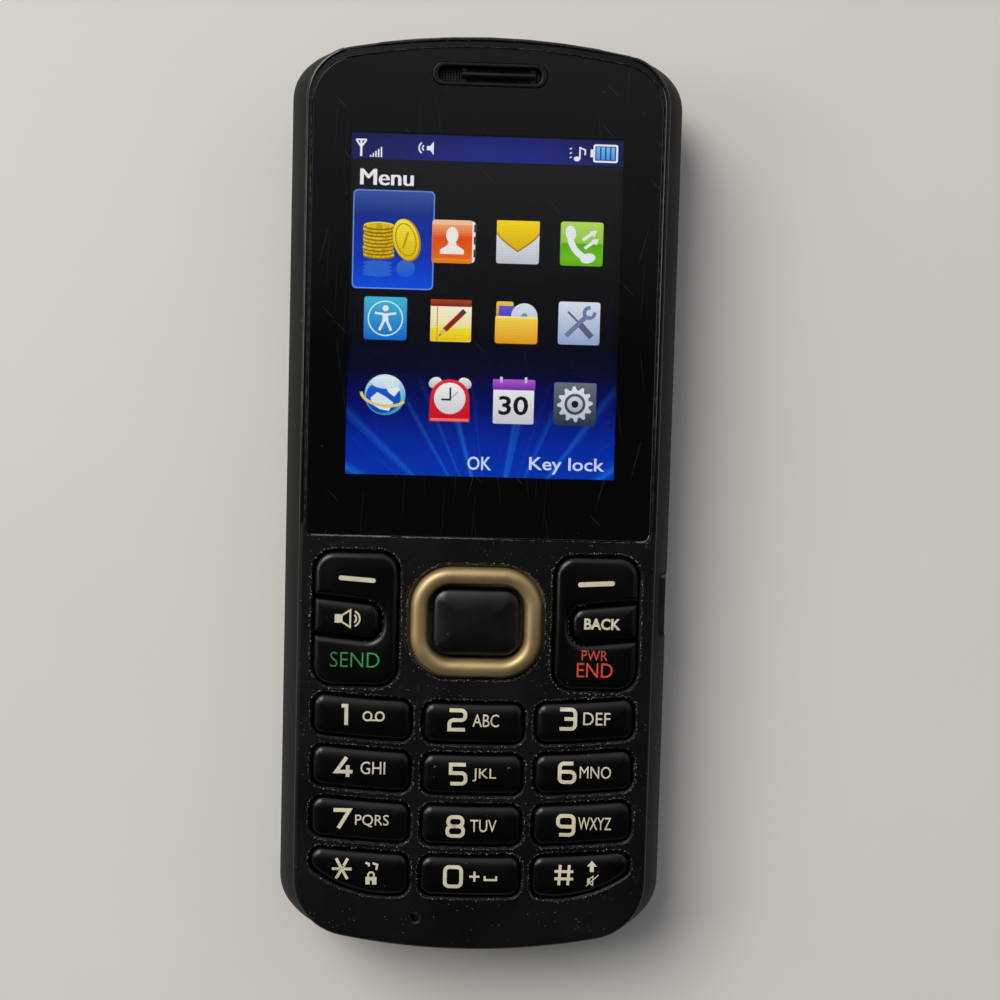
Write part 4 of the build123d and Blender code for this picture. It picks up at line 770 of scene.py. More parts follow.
# Numerals and signs drawn as bent strokes in a unit box, with a mark for each rounded corner
numerals = {
    "1": (((0, 1), (1, 1), (1, 0)),),
    "2": (((0, 1), (1, 1, "round"), (1, 0.5, "round"), (0, 0.5, "round"), (0, 0), (1, 0)),),
    "3": (((0, 1), (1, 1, "round"), (1, 0, "round"), (0, 0)), ((0.3, 0.52), (1, 0.52))),
    "4": (((0.62, 1), (0, 0.27), (1, 0.27)), ((0.7, 0.6), (0.7, 0))),
    "5": (((1, 1), (0, 1), (0, 0.56), (1, 0.56, "round"), (1, 0, "round"), (0, 0)),),
    "6": (((0.9, 1), (0, 1, "round"), (0, 0, "round"), (1, 0, "round"), (1, 0.56, "round"), (0, 0.56)),),
    "7": (((0, 1), (1, 1), (0.32, 0)),),
    "8": (((0.05, 0.52, "round"), (0.95, 0.52, "round"), (0.95, 1, "round"), (0.05, 1, "round"), "closed"),
          ((0, 0, "round"), (1, 0, "round"), (1, 0.52, "round"), (0, 0.52, "round"), "closed")),
    "9": (((0.1, 0), (1, 0, "round"), (1, 1, "round"), (0, 1, "round"), (0, 0.44, "round"), (1, 0.44)),),
    "0": (((0, 0, "round"), (1, 0, "round"), (1, 1, "round"), (0, 1, "round"), "closed"),),
    "*": (((0.02, 0.5), (0.98, 0.5)), ((0.22, 1), (0.78, 0)), ((0.78, 1), (0.22, 0))),
    "#": (((0.3, 1), (0.24, 0)), ((0.78, 1), (0.72, 0)), ((0, 0.68), (1, 0.68)), ((0, 0.32), (1, 0.32))),
    "+": (((0, 0.5), (1, 0.5)), ((0.5, 0), (0.5, 1))),
    "space": (((0, 1), (0, 0), (1, 0), (1, 1)),),
    "loops": ((*arc(0.2, 0.5, 0.2, 0.5, 0, 2, 20)[:-1], "closed"), ((0.2, 0.04), (0.8, 0.04)),
              (*arc(0.8, 0.5, 0.2, 0.5, 0, 2, 20)[:-1], "closed")),
    "quotes": (((0.02, 0.95), (0.3, 0.8), (0.3, 0.45)), ((0.6, 0.9), (0.98, 0.7), (0.9, 0))),
    "shackle": (((0.1, 0), (0.1, 0.55), (0.3, 0.95), (0.7, 0.95), (0.9, 0.55), (0.9, 0)),),
    "cone": (((0.25, 0.32), (0.58, 0.02), (0.58, 0.98), (0.25, 0.68), "closed"),),
    "nearWave": (arc(0.6, 0.5, 0.14, 0.26, -1 / 3, 1 / 3, 8),),
    "farWave": (arc(0.6, 0.5, 0.34, 0.46, -5 / 14, 5 / 14, 10),),
    "slash": (((0, 0), (1, 1)),),
}
filledShapes = {
    "block": ((0, 0), (1, 0), (1, 1), (0, 1)),
    "lockBody": ((0, 0), (0.4, 0), (0.4, 0.45), (0.5, 0.62), (0.6, 0.45), (0.6, 0), (1, 0), (1, 1), (0, 1)),
    "arrow": ((0.3, 0), (0.7, 0), (0.7, 0.5), (1, 0.5), (0.5, 1), (0, 0.5), (0.3, 0.5)),
}


def drawnFaces(shape, x, y, width, height, thick):
    if shape == "dash":  # a bar with round ends, climbing by thick
        along = Vector((width, thick)) / 2
        across = along.orthogonal().normalized() * height / 2
        ends = [Vector((x, y)) + along * u + across * v for u, v in square]
        return [outlinePoints([(*end, height * ink["dashRound"]) for end in ends], steps=ink["bendSteps"])]
    if shape in filledShapes:
        return [[Vector((x + (u - 0.5) * width, y + (v - 0.5) * height)) for u, v in filledShapes[shape]]]
    width, height = width - thick, height - thick
    bend = min(ink["bend"], width * ink["bendAcross"], height * ink["bendUp"])
    faces = []
    for path in numerals[shape]:
        closed = path[-1] == "closed"
        points = [(x + (u - 0.5) * width, y + (v - 0.5) * height, bend if mark else 0)
                  for u, v, *mark in (path[:-1] if closed else path)]
        faces += strokeFaces(points, thick, closed)
    return faces


def evaluatedMesh(item):
    bpy.context.view_layer.update()
    return bpy.data.meshes.new_from_object(item.evaluated_get(bpy.context.evaluated_depsgraph_get()))


def fitted(values, middle, size):
    low, high = min(values), max(values)
    return [middle + ((value - low) / (high - low) - 0.5) * size for value in values]


def wordFaces(text, x, y, width, height, weight=0.0):
    # a word from the built-in letters, fitted to its place
    data = bpy.data.curves.new("word", "FONT")
    data.body, data.offset, data.resolution_u = text, weight, ink["letterSteps"]
    item = placed("word", data)
    flat = evaluatedMesh(item)
    bpy.data.objects.remove(item)
    bpy.data.curves.remove(data)
    xs = fitted([vertex.co.x for vertex in flat.vertices], x, width)
    ys = fitted([vertex.co.y for vertex in flat.vertices], y, height)
    faces = [[Vector((xs[index], ys[index])) for index in polygon.vertices] for polygon in flat.polygons]
    bpy.data.meshes.remove(flat)
    return faces


def sliceEvenly(shape, pitch):
    for axis, normal in enumerate(((1, 0, 0), (0, 1, 0))):
        places = [vertex.co[axis] for vertex in shape.verts]
        for step in range(int(min(places) / pitch) - 1, ceil(max(places) / pitch)):
            everything = [*shape.verts, *shape.edges, *shape.faces]
            bmesh.ops.bisect_plane(shape, geom=everything, plane_co=Vector(normal) * step * pitch, plane_no=normal)


def thicken(shape, height):
    # a second layer of the flat shape, moved by height in mm, with walls between the two
    for item in bmesh.ops.extrude_face_region(shape, geom=list(shape.faces))["geom"]:
        if isinstance(item, bmesh.types.BMVert):
            item.co.z += height * mm


def turnOutwards(shape):
    bmesh.ops.recalc_face_normals(shape, faces=shape.faces)


def printPiece(name, faces, node, finish):
    shape = bmesh.new()
    for points in faces:
        shape.faces.new([shape.verts.new((point.x * mm, point.y * mm, 0)) for point in points])
    bmesh.ops.remove_doubles(shape, verts=shape.verts, dist=ink["weld"])
    turnOutwards(shape)
    for face in shape.faces:
        if face.normal.z > 0:
            face.normal_flip()
    sliceEvenly(shape, ink["slice"] * mm)  # so that the print can follow the dome
    thicken(shape, ink["thick"])
    for vertex in shape.verts:
        top = surfaceHeight(node, vertex.co.x / mm, vertex.co.y / mm)
        vertex.co.z += (top + ink["lift"] - ink["thick"]) * mm
    turnOutwards(shape)
    addPiece(name, meshOf(name, shape), finish, node + "_body", "key_plastic")


# Each legend: kind, text or shape, middle x and y, width, height in mm
legends = {
    "key_1": (("shape", "1", -15.24, -25.35, 1.0, 2.7), ("thin", "loops", -11.75, -25.4, 2.6, 1.2)),
    "key_2": (("shape", "2", -1.93, -25.65, 2.3, 2.7), ("word", "ABC", 1.42, -25.66, 3.1, 1.5)),
    "key_3": (("shape", "3", 11.05, -25.3, 2.25, 2.7), ("word", "DEF", 14.5, -25.2, 3.2, 1.5)),
    "key_4": (("shape", "4", -15.05, -31.5, 2.35, 2.75), ("word", "GHI", -11.72, -31.55, 2.9, 1.5)),
    "key_5": (("shape", "5", -1.68, -32.1, 2.2, 2.7), ("word", "JKL", 1.41, -32.15, 2.75, 1.55)),
    "key_6": (("shape", "6", 11.18, -31.7, 2.2, 2.65), ("word", "MNO", 14.52, -31.6, 3.7, 1.45)),
    "key_7": (("shape", "7", -15.3, -37.72, 2.3, 2.6), ("word", "PQRS", -11.69, -37.88, 3.95, 1.5)),
    "key_8": (("shape", "8", -1.86, -38.38, 2.3, 2.7), ("word", "TUV", 1.45, -38.25, 3.1, 1.45)),
    "key_9": (("shape", "9", 11.2, -38.0, 2.3, 2.7), ("word", "WXYZ", 14.62, -37.75, 3.9, 1.5)),
    "key_star": (("medium", "*", -15.13, -43.68, 2.75, 2.8), ("dot", "quotes", -11.65, -43.3, 1.7, 1.1),
                 ("block", "lockBody", -11.66, -45.05, 1.3, 0.95), ("thin", "shackle", -11.66, -44.28, 1.05, 0.75)),
    "key_0": (("shape", "0", -1.98, -44.42, 2.35, 2.75), ("dot", "+", 0.55, -44.35, 1.45, 1.45),
              ("dot", "space", 2.45, -44.5, 1.6, 0.7)),
    "key_hash": (("medium", "#", 11.15, -44.0, 2.55, 2.75), ("block", "arrow", 14.46, -42.9, 1.15, 1.3),
                 ("block", "block", 14.12, -44.65, 0.35, 0.65), ("fine", "cone", 14.5, -44.65, 1.5, 1.3),
                 ("fine", "slash", 14.56, -44.6, 1.55, 1.5)),
    "speaker_key": (("block", "block", -16.17, -13.93, 0.72, 1.0), ("thin", "cone", -14.96, -13.93, 3.2, 2.3),
                    ("thin", "nearWave", -14.75, -13.93, 3.2, 2.2), ("thin", "farWave", -14.93, -13.93, 3.2, 2.3)),
    "back_key": (("bold", "BACK", 14.83, -13.95, 4.3, 1.35),),
}
rockerLegends = {
    "left_dash": ("left_rocker_key", "creamInk", ("fall", "dash", -14.0, -9.27, 4.3, 0.54)),
    "left_word": ("left_rocker_key", "greenInk", ("slim", "SEND", -14.1, -18.75, 5.75, 1.78)),
    "right_dash": ("right_rocker_key", "creamInk", ("rise", "dash", 13.97, -9.22, 4.3, 0.56)),
    "right_words": ("right_rocker_key", "redInk", ("word", "PWR", 14.01, -17.68, 3.05, 1.2),
                    ("word", "END", 14.08, -19.42, 4.25, 1.7)),
}
# width of each kind of stroke, or the climb of a dash, and how much each kind of word is thickened
strokes = {"shape": 0.43, "medium": 0.33, "dot": 0.24, "thin": 0.2, "fine": 0.12, "block": 0.0,
           "fall": -0.28, "rise": 0.26}
weights = {"word": 0.0, "bold": 0.03, "slim": -0.012}


def printLegends():
    jobs = {node + "_legend": (node, "creamInk", *signs) for node, signs in legends.items()}
    for name, (node, finish, *signs) in {**jobs, **rockerLegends}.items():
        faces = []
        for kind, *sign in signs:
            faces += wordFaces(*sign, weights[kind]) if kind in weights else drawnFaces(*sign, strokes[kind])
        printPiece(name, faces, node, finish)


placeCamera()
placeLamps()
makeNumberKeys()
makeFunctionKeys()
makePad()
makePips()
print("keys made:", len(caps))
printLegends()
print("legends printed")


# Window: clear glass over a black print, the lit screen below it
topBow = 85.0
windowPrint = {
    "half": 20.2, "top": 52.2, "bottom": -4.25, "corner": 5.4, "lowCorner": 0.8, "steps": 12, "inset": 0.17,
    "level": 12.557, "thick": 0.005, "clear": (0, 22.7, 31.5, 39.4), "slot": (0, 49.15, 13.36, 2.76, 1.3524),
    "slotSteps": 8, "bowSteps": 5,
}


def bowedOutline(look, inset=0.0):
    # straight sides, and a top on a wide bow
    half = look["half"]
    corners = [(-half, look["bottom"], look["lowCorner"]), (half, look["bottom"], look["lowCorner"])]
    steps = windowPrint["bowSteps"]
    for step in range(steps, -steps - 1, -1):
        x = half * step / steps
        corners.append((x, look["top"] - sag(topBow, x), look["corner"] if abs(step) == steps else 0))
    return outlinePoints(corners, inset, look["steps"])


def makeWindowPrint():
    w = windowPrint
    slot = outlinePoints(boxCorners(*w["slot"]), steps=w["slotSteps"])
    shape = bmesh.new()
    loops = []
    for points in (bowedOutline(w, w["inset"]), outlinePoints(boxCorners(*w["clear"])), slot):
        verts = [shape.verts.new((x * mm, y * mm, w["level"] * mm)) for x, y in points]
        loops += [shape.edges.new(pair) for pair in looped(verts)]
    bmesh.ops.triangle_fill(shape, edges=loops, use_beauty=True, use_dissolve=False)
    turnOutwards(shape)
    thicken(shape, -w["thick"])
    turnOutwards(shape)
    addPiece("window_print", meshOf("window_print", shape), "windowPrint", "phone", "black_trim")


# The lit picture: flat patches of light, each with a low and a high colour (0 to 255)
screen = {"place": (0, 22.7, 31.68, 39.6), "level": 10.315, "layer": 0.004,
          "pixel": 0.18, "gap": (0.34, 0.46, 1.0, 0.72), "rough": (0.32, 0.26), "glass": (0.002, 0.002, 0.002, 1),
          "specular": 0.2, "cornerSteps": 4, "ovalSteps": 28}
patches = []
white, blue, steelBlue, pale = (240, 243, 248), (84, 102, 138), (112, 130, 164), (250, 244, 240)
statusRow = {"y": 41.05, "height": 2.9, "steps": 6, "dim": 0.82, "tones": (
    (-15.84, (14, 18, 92)), (-9.0, (15, 26, 112)), (-1.0, (14, 34, 138)), (7.0, (14, 32, 130)), (15.84, (12, 16, 84)))}


def box(x, y, width, height, corner=0.0):
    return [outlinePoints(boxCorners(x, y, width, height, corner), steps=screen["cornerSteps"])]


def oval(x, y, across, up=None, turn=0.0):
    return [arc(x, y, across, up or across, 0, 2, screen["ovalSteps"], turn)[:-1]]


def line(path, width, closed=False):
    return strokeFaces([(*point, 0) for point in path], width, closed)


def show(x, y, *parts):
    # parts of a picture round (x, y): layer, low and high colour or one for both, faces
    for layer, *colours, faces in parts:
        for face in faces:
            points = [Vector(point) + Vector((x, y)) for point in face]
            patches.append((points, colours[0], colours[-1], layer))


def drawStatusRow():
    row, steps = statusRow, statusRow["steps"]
    for (left, colour), (right, other) in zip(row["tones"], row["tones"][1:]):
        for step in range(steps):
            share = (step + 0.5) / steps
            tone = [a + (b - a) * share for a, b in zip(colour, other)]
            dim = [channel * row["dim"] for channel in tone]
            strip = box(0, 0, (right - left) / steps, row["height"])
            show(left + (right - left) * share, row["y"], (1, tone, dim, strip))
    # aerial and bars, then a horn, a note and a battery
    signs = line([(-14.7, 39.85), (-14.7, 41.65)], 0.26)
    signs += line([(-15.3, 41.75), (-14.7, 40.9), (-14.1, 41.75)], 0.2) + line([(-15.3, 41.75), (-14.1, 41.75)], 0.2)
    for index in range(5):
        signs += box(-13.6 + index * 0.31, 39.9 + 0.12 * index, 0.17, 0.2 + 0.24 * index)
    signs.append(((-7.1, 40.75), (-6.7, 40.75), (-6.3, 40.2), (-6.3, 41.8), (-6.7, 41.25), (-7.1, 41.25)))
    for reach in (0.35, 0.75):
        signs += line(arc(-7.25, 41.0, reach, reach, 0.7, 1.3, 6), 0.16)
    signs += oval(10.4, 40.3, 0.38, 0.28) + line([(10.74, 40.3), (10.74, 41.6), (11.35, 41.35), (11.35, 40.75)], 0.18)
    for y in (40.4, 40.9, 41.4):
        signs += line([(9.55, y), (9.8, y + 0.12)], 0.14)
    signs += box(13.75, 41.0, 2.9, 2.1, 0.25) + box(12.15, 41.0, 0.35, 0.9)
    show(0, 0, (3, white, signs), (4, (24, 60, 130), box(13.75, 41.0, 2.45, 1.65, 0.1)))
    for index in range(4):
        show(12.87 + index * 0.585, 41.0, (5, (70, 150, 235), (120, 195, 250), box(0, 0, 0.42, 1.45)))


def drawChosen(x, y):
    show(x, y, (1, (104, 148, 240), (104, 140, 214), box(0, 0, 9.5, 11.45, 0.55)),
         (2, (0, 58, 196), (8, 34, 128), box(0, 0, 9.2, 11.15, 0.45)),
         (3, (8, 42, 134), (50, 84, 168), box(0, 4.2, 9.2, 2.75, 0.45)),
         (3, (0, 78, 232), (0, 44, 176), box(0, -3.5, 9.2, 4.1, 0.45)))
    for index in range(9):  # pile of round gold pieces
        show(x - 1.7 + 0.07 * sin(index * 2.3 + 0.6), y - 1.75 + index * 0.42,
             (4 + index, (140, 100, 4), (168, 126, 6), oval(0, -0.15, 1.84, 0.42)),
             (4 + index, (234, 190, 10), (255, 234, 54), oval(0, 0, 1.8, 0.4)))
    show(x, y, (14, (170, 124, 4), (206, 160, 10), oval(1.55, 0, 1.6, 2.52, 0.26)),
         (15, (226, 190, 8), (255, 240, 60), oval(1.46, 0.03, 1.47, 2.4, 0.26)),
         (16, (190, 150, 8), line(*oval(1.46, 0.03, 1.14, 1.9, 0.26), 0.14, True)),
         (16, (204, 152, 16), line([(1.15, -0.95), (1.72, 0.95)], 0.24)))
    for index in range(4):  # its faint reflection
        show(x - 1.8, y - 2.75 - index * 0.42, (4, (30, 98, 226), (46, 104, 206), oval(0, 0, 1.7, 0.3)))
    show(x, y, (4, (22, 90, 230), (58, 112, 196), oval(1.5, -3.3, 1.1, 1.0)))


def drawIcons():
    drawChosen(-10.76, 30.33)
    # address book
    tabs = box(2.62, -1.3, 0.3, 0.9) + box(2.62, 0.2, 0.3, 0.9) + box(2.62, 1.6, 0.3, 0.9)
    bust = ((-1.45, -1.45), (1.35, -1.45), (1.35, -0.95), (0.5, -0.4), (0.3, 0.2), (-0.4, 0.2), (-0.6, -0.4),
            (-1.45, -0.95))
    show(-3.85, 30.31, (3, (226, 226, 228), (250, 250, 250), box(0.25, 0, 4.8, 4.8, 0.4)), (4, (60, 60, 64), tabs),
         (4, (240, 128, 16), (255, 206, 164), box(-0.05, 0, 4.7, 5.0, 0.3)),
         (5, (238, 104, 6), (234, 78, 0), box(-0.05, -0.75, 4.66, 2.4)),
         (5, (234, 78, 0), (250, 168, 110), box(-0.05, 1.2, 4.66, 1.5)),
         (6, pale, [*oval(-0.05, 0.75, 0.72, 0.95), bust]))
    # envelope
    flap = [(2.5 - 0.5 * step, 1.05 - 2.1 * (1 - abs(step - 5) / 5) ** 0.75) for step in range(11)]
    show(3.78, 30.46, (3, (196, 202, 214), (250, 250, 252), box(0, 0, 5.0, 5.0, 0.3)),
         (4, (226, 178, 0), (255, 222, 24), [[(-2.5, 2.5), *reversed(flap), (2.5, 2.5)]]),
         (5, (150, 128, 40), line(flap, 0.16)))
    # handset with two arrows
    handset = line(arc(1.55, 1.15, 2.95, 2.95, 1.02, 1.42, 9), 0.75)
    handset += oval(-1.3, 1.25, 0.62, 0.85, 0.2) + oval(0.75, -1.65, 0.9, 0.58, 0.2)
    for u, v in ((0.1, 0.0), (0.35, -0.95)):
        handset += line([(u, v + 0.45), (u + 1.25, v + 1.35)], 0.36)
        handset.append(((u + 0.75, v + 1.45), (u + 1.35, v + 0.8), (u + 1.65, v + 1.6)))
    show(11.26, 30.48, (3, (98, 184, 0), (188, 226, 98), box(0, 0, 5.0, 5.1, 0.3)),
         (4, (116, 200, 14), (88, 174, 2), box(0, -0.9, 4.9, 1.9, 0.2)), (5, white, handset))
    # plain figure in a ring
    figure = oval(0, 1.18, 0.36) + line([(-1.25, 0.62), (0, 0.45), (1.25, 0.62)], 0.26)
    figure.append(((-0.34, 0.55), (-0.34, -0.35), (0.34, -0.35), (0.34, 0.55)))
    figure += line([(-0.7, -1.42), (-0.14, -0.2)], 0.3) + line([(0.7, -1.42), (0.14, -0.2)], 0.3)
    show(-11.49, 21.19, (3, (4, 106, 206), (70, 190, 226), box(0, 0, 5.0, 5.0, 0.3)),
         (4, (206, 240, 250), line(*oval(0, 0, 2.0), 0.16, True)), (4, white, figure))
    # notebook and pencil
    show(-3.82, 21.13, (3, (250, 226, 90), (255, 255, 240), box(0, 0, 4.8, 4.9, 0.2)),
         (4, (244, 206, 0), (255, 232, 50), box(0, -1.6, 4.76, 1.5)),
         (4, (120, 34, 8), (176, 70, 34), box(0, 2.05, 4.8, 0.8, 0.1)),
         (4, (226, 120, 60), line([(-1.6, 1.6), (-1.6, -2.4)], 0.12)),
         (5, (150, 30, 18), line([(-0.7, -1.1), (1.3, 0.9)], 0.6)),
         (6, (60, 60, 110), line([(1.25, 0.85), (1.6, 1.2)], 0.6)),
         (5, (236, 190, 130), [((-1.4, -1.85), (-0.5, -1.35), (-0.95, -0.85))]),
         (6, (50, 30, 20), [((-1.4, -1.85), (-1.1, -1.68), (-1.25, -1.5))]))
    # folder with a disc
    show(3.86, 21.1, (3, (214, 150, 20), (248, 206, 60), box(-1.4, 1.5, 2.0, 1.9, 0.25)),
         (4, (60, 60, 190), (98, 92, 216), box(-0.9, 1.1, 2.4, 1.7, 0.1)),
         (5, (180, 208, 226), (226, 236, 244), oval(0.9, 0.75, 1.55)), (6, (120, 150, 180), oval(0.9, 0.75, 0.4)),
         (7, (238, 160, 14), (255, 222, 84), box(0, -0.85, 5.0, 3.2, 0.3)),
         (8, (255, 240, 160), box(0, 0.62, 4.9, 0.2)))
    # screwdriver and spanner
    driver = line([(-1.35, 1.35), (0.1, -0.05)], 0.24) + line([(0.05, -0.05), (1.5, -1.6)], 0.72)
    spanner = line([(0.9, 0.9), (-1.5, -1.5)], 0.56) + line(arc(1.2, 1.25, 0.62, 0.62, 0.45, 2.05, 10), 0.42)
    show(11.22, 21.23, (3, (150, 172, 212), (228, 234, 246), box(0, 0, 4.9, 5.0, 0.3)), (4, blue, driver),
         (5, steelBlue, spanner))
    # globe with a swoosh
    north = ((-0.1, 1.5), (0.9, 1.7), (1.75, 0.7), (1.1, -0.2), (0.4, 0.3), (0.1, 0.9))
    south = ((-1.7, -0.4), (-0.9, 0.3), (0.2, -0.3), (1.0, -0.9), (0.5, -1.9), (-0.6, -1.7), (-1.4, -1.2))
    show(-11.35, 12.28, (3, (40, 150, 190), (214, 238, 248), oval(0, 0, 2.4)),
         (4, (6, 70, 190), (24, 100, 214), oval(-0.2, -0.25, 2.05, 1.9)),
         (5, (190, 226, 240), (240, 250, 250), oval(0.05, 1.45, 1.7, 0.75)),
         (5, (236, 244, 248), [north]), (5, (228, 240, 246), [south]),
         (6, (234, 208, 112), line(arc(-0.1, 0.1, 2.7, 1.4, 1.02, 1.86, 14, -0.1), 0.34)))
    # alarm clock
    bells = oval(-1.75, 1.95, 0.8, 0.62, 0.5) + oval(1.75, 1.95, 0.8, 0.62, -0.5)
    show(-3.74, 11.9, (3, (190, 190, 196), (250, 250, 250), bells),
         (4, (206, 16, 26), (236, 44, 54), [[(-2.4, -2.6), (2.4, -2.6), *arc(0, 0.2, 2.3, 2.2, 0, 1, 16)]]),
         (5, (216, 216, 222), (252, 252, 252), oval(0, 0.15, 1.85)),
         (6, (24, 24, 60), line([(0.05, 1.4), (0.05, 0.0), (-1.0, 0.0)], 0.22)),
         (6, (120, 120, 130), line([(0.05, 0.05), (0.95, 0.95)], 0.08)), (5, (250, 120, 120), box(0, -2.35, 4.5, 0.3)))
    # calendar
    show(3.77, 11.94, (3, (206, 208, 214), (252, 252, 254), box(0, -0.2, 4.8, 5.0, 0.2)),
         (4, (118, 40, 170), (176, 96, 214), box(0, 1.9, 5.0, 1.25, 0.15)),
         (5, (196, 160, 214), (240, 230, 246), box(-1.5, 2.45, 0.3, 0.7) + box(1.4, 2.45, 0.3, 0.7)),
         (5, (22, 22, 26), wordFaces("30", 0, -0.55, 3.5, 2.25, 0.02)))
    # cog
    teeth = [Matrix.Rotation(pi * index / 24, 2) @ Vector((2.1 if index % 4 < 2 else 1.66, 0)) for index in range(48)]
    show(11.01, 11.75, (3, (42, 50, 66), (104, 114, 128), box(0, 0, 5.0, 5.05, 0.25)),
         (4, (190, 198, 208), (236, 240, 244), [teeth]), (5, (60, 68, 84), (84, 92, 106), oval(0, 0, 1.25)),
         (6, (170, 180, 192), (214, 220, 228), oval(0, 0, 0.92)), (7, (24, 28, 36), oval(0, 0, 0.42)))


backdrop = {  # heights in mm, colours of the ramp, and the beams of light from below
    "from": 2.9, "to": 42.5, "stops": (
        (0.0, (0.0, 0.035, 0.44)), (0.09, (0.0, 0.022, 0.38)), (0.2, (0.0, 0.004, 0.14)),
        (0.31, (0.0008, 0.001, 0.020)), (0.42, (0.0006, 0.0006, 0.0025)), (1.0, (0.0008, 0.0008, 0.0012))),
    "beamX": 1.5, "beamY": -6, "beamScale": 9.0, "beamKept": (0.52, 0.75), "fade": (15, 4), "beam": (0.01, 0.17, 0.80),
}


def backdropTone(tree, x, y):
    b = backdrop
    ramp = nodeIn(tree, "ShaderNodeValToRGB", {"Fac": remap(tree, y, b["from"] * mm, b["to"] * mm)})
    for place, _ in b["stops"][2:]:
        ramp.color_ramp.elements.new(place)
    for element, (place, colour) in zip(ramp.color_ramp.elements, b["stops"]):
        element.position, element.color = place, (*colour, 1)
    angle = maths(tree, "ARCTAN2", minus(tree, x, b["beamX"] * mm), minus(tree, y, b["beamY"] * mm))
    turned = valueOf(tree, "ShaderNodeCombineXYZ", {"X": angle})
    beams = remap(tree, noiseIn(tree, turned, b["beamScale"]), *b["beamKept"])
    fade = remap(tree, y, *(height * mm for height in b["fade"]))
    return mixColour(tree, product(tree, beams, fade), ramp.outputs["Color"], b["beam"])


def glowFinish(name, painted):
    # light through the panel, with the dark lines between its pixels
    finish, tree, shader, _ = newFinish(name)
    parts = axesOf(tree, objectSpace(tree))
    grid = 1.0
    for axis in ("X", "Y"):
        cell = maths(tree, "FRACT", maths(tree, "DIVIDE", parts[axis], screen["pixel"] * mm))
        grid = product(tree, grid, remap(tree, maths(tree, "ABSOLUTE", minus(tree, cell, 0.5)), *screen["gap"]))
    if painted:
        tone = valueOf(tree, "ShaderNodeAttribute", output="Color", attribute_name="paint")
    else:
        tone = backdropTone(tree, parts["X"], parts["Y"])
    feed(tree, shader, {
        "Emission Color": mixColour(tree, grid, (0.0, 0.0, 0.0), tone), "Emission Strength": 1.0,
        "Base Color": screen["glass"], "Specular IOR Level": screen["specular"],
        "Roughness": remap(tree, grid, 0.0, 1.0, *screen["rough"]),
    })
    return finish


def linear(channel):
    value = channel / 255
    return value / 12.92 if value <= 0.04045 else ((value + 0.055) / 1.055) ** 2.4


def flatSheet(name, x, y, width, height, level):
    mesh = bpy.data.meshes.new(name)
    corners = boxCorners(x, y, width, height, level)  # with the level in the corner radius's place
    mesh.from_pydata([Vector(corner) * mm for corner in corners], [], [(0, 1, 2, 3)])
    return mesh


def makeScreen():
    materials["screenGlow"] = glowFinish("screenGlow", False)
    materials["screenPaint"] = glowFinish("screenPaint", True)
    sheet = flatSheet("screen_backdrop", *screen["place"], screen["level"])
    addPiece("screen_backdrop", sheet, "screenGlow", "phone", "screen_glass")
    drawStatusRow()
    for shift in (-0.07, 0, 0.07):  # three shifted copies make it bold
        show(-11.65 + shift, 37.5, (1, white, wordFaces("Menu", 0, 0, 6.1, 1.85)))
    drawIcons()
    show(0, 0, (1, (206, 222, 255), wordFaces("OK", -0.08, 4.5, 2.8, 1.6, 0.012)),
         (1, (206, 222, 255), wordFaces("Key lock", 10.25, 4.4, 8.9, 2.0, 0.012)))
    shape = bmesh.new()
    paint = shape.loops.layers.float_color.new("paint")
    for points, lowColour, highColour, layer in patches:
        level = (screen["level"] + layer * screen["layer"]) * mm
        face = shape.faces.new([shape.verts.new((point.x * mm, point.y * mm, level)) for point in points])
        face.normal_update()
        if face.normal.z < 0:
            face.normal_flip()
        low, high = (pick(point.y for point in points) * mm for pick in (min, max))
        for loop in face.loops:
            share = (loop.vert.co.y - low) / (high - low)
            loop[paint] = [linear(a + (b - a) * share) for a, b in zip(lowColour, highColour)] + [1]
    bmesh.ops.triangulate(shape, faces=[face for face in shape.faces if len(face.verts) > 4])
    addPiece("screen_picture", meshOf("screen_picture", shape), "screenPaint", "phone", "screen_glass")


# Geometry Nodes: what repeats over a surface or follows a path
def geometryTree(name, sizes):
    sockets = [(label, "Int" if isinstance(value, int) else "Float", value) for label, value in sizes.items()]
    sockets = [("Geometry", "Geometry", None), *sockets, ("Finish", "Material", None)]
    return newTree(name, "GeometryNodeTree", sockets, [("Geometry", "Geometry")])


def finishTree(tree, shape, given, out):
    solid = valueOf(tree, "GeometryNodeRealizeInstances", {"Geometry": shape})
    painted = valueOf(tree, "GeometryNodeSetMaterial", {"Geometry": solid, "Material": given["Finish"]})
    feed(tree, out, {"Geometry": painted})
    return tree


def clothTree():
    # two layers of round wires, one along each way
    tree, given, out = geometryTree("wireCloth", {"Width": 0.012, "Length": 0.0025, "Pitch": 0.00035, "Wire": 0.00007})
    both = tree.nodes.new("GeometryNodeJoinGeometry")
    for axis, across, along, lift, turn in (
        ("X", "Width", "Length", 0.5, (pi / 2, 0, 0)),
        ("Y", "Length", "Width", -0.5, (0, pi / 2, 0)),
    ):
        count = maths(tree, "DIVIDE", given[across], given["Pitch"])
        start = product(tree, minus(tree, count, 1.0), product(tree, given["Pitch"], -0.5))
        first = valueOf(tree, "ShaderNodeCombineXYZ", {axis: start, "Z": product(tree, given["Wire"], lift)})
        step = valueOf(tree, "ShaderNodeCombineXYZ", {axis: given["Pitch"]})
        places = valueOf(tree, "GeometryNodeMeshLine", {"Count": count, "Start Location": first, "Offset": step})
        size = {"Vertices": 6, "Radius": given["Wire"], "Depth": given[along]}
        wire = valueOf(tree, "GeometryNodeMeshCylinder", size)
        layer = valueOf(tree, "GeometryNodeInstanceOnPoints", {"Points": places, "Instance": wire, "Rotation": turn})
        tree.links.new(layer, both.inputs[0])
    return finishTree(tree, both.outputs[0], given, out)


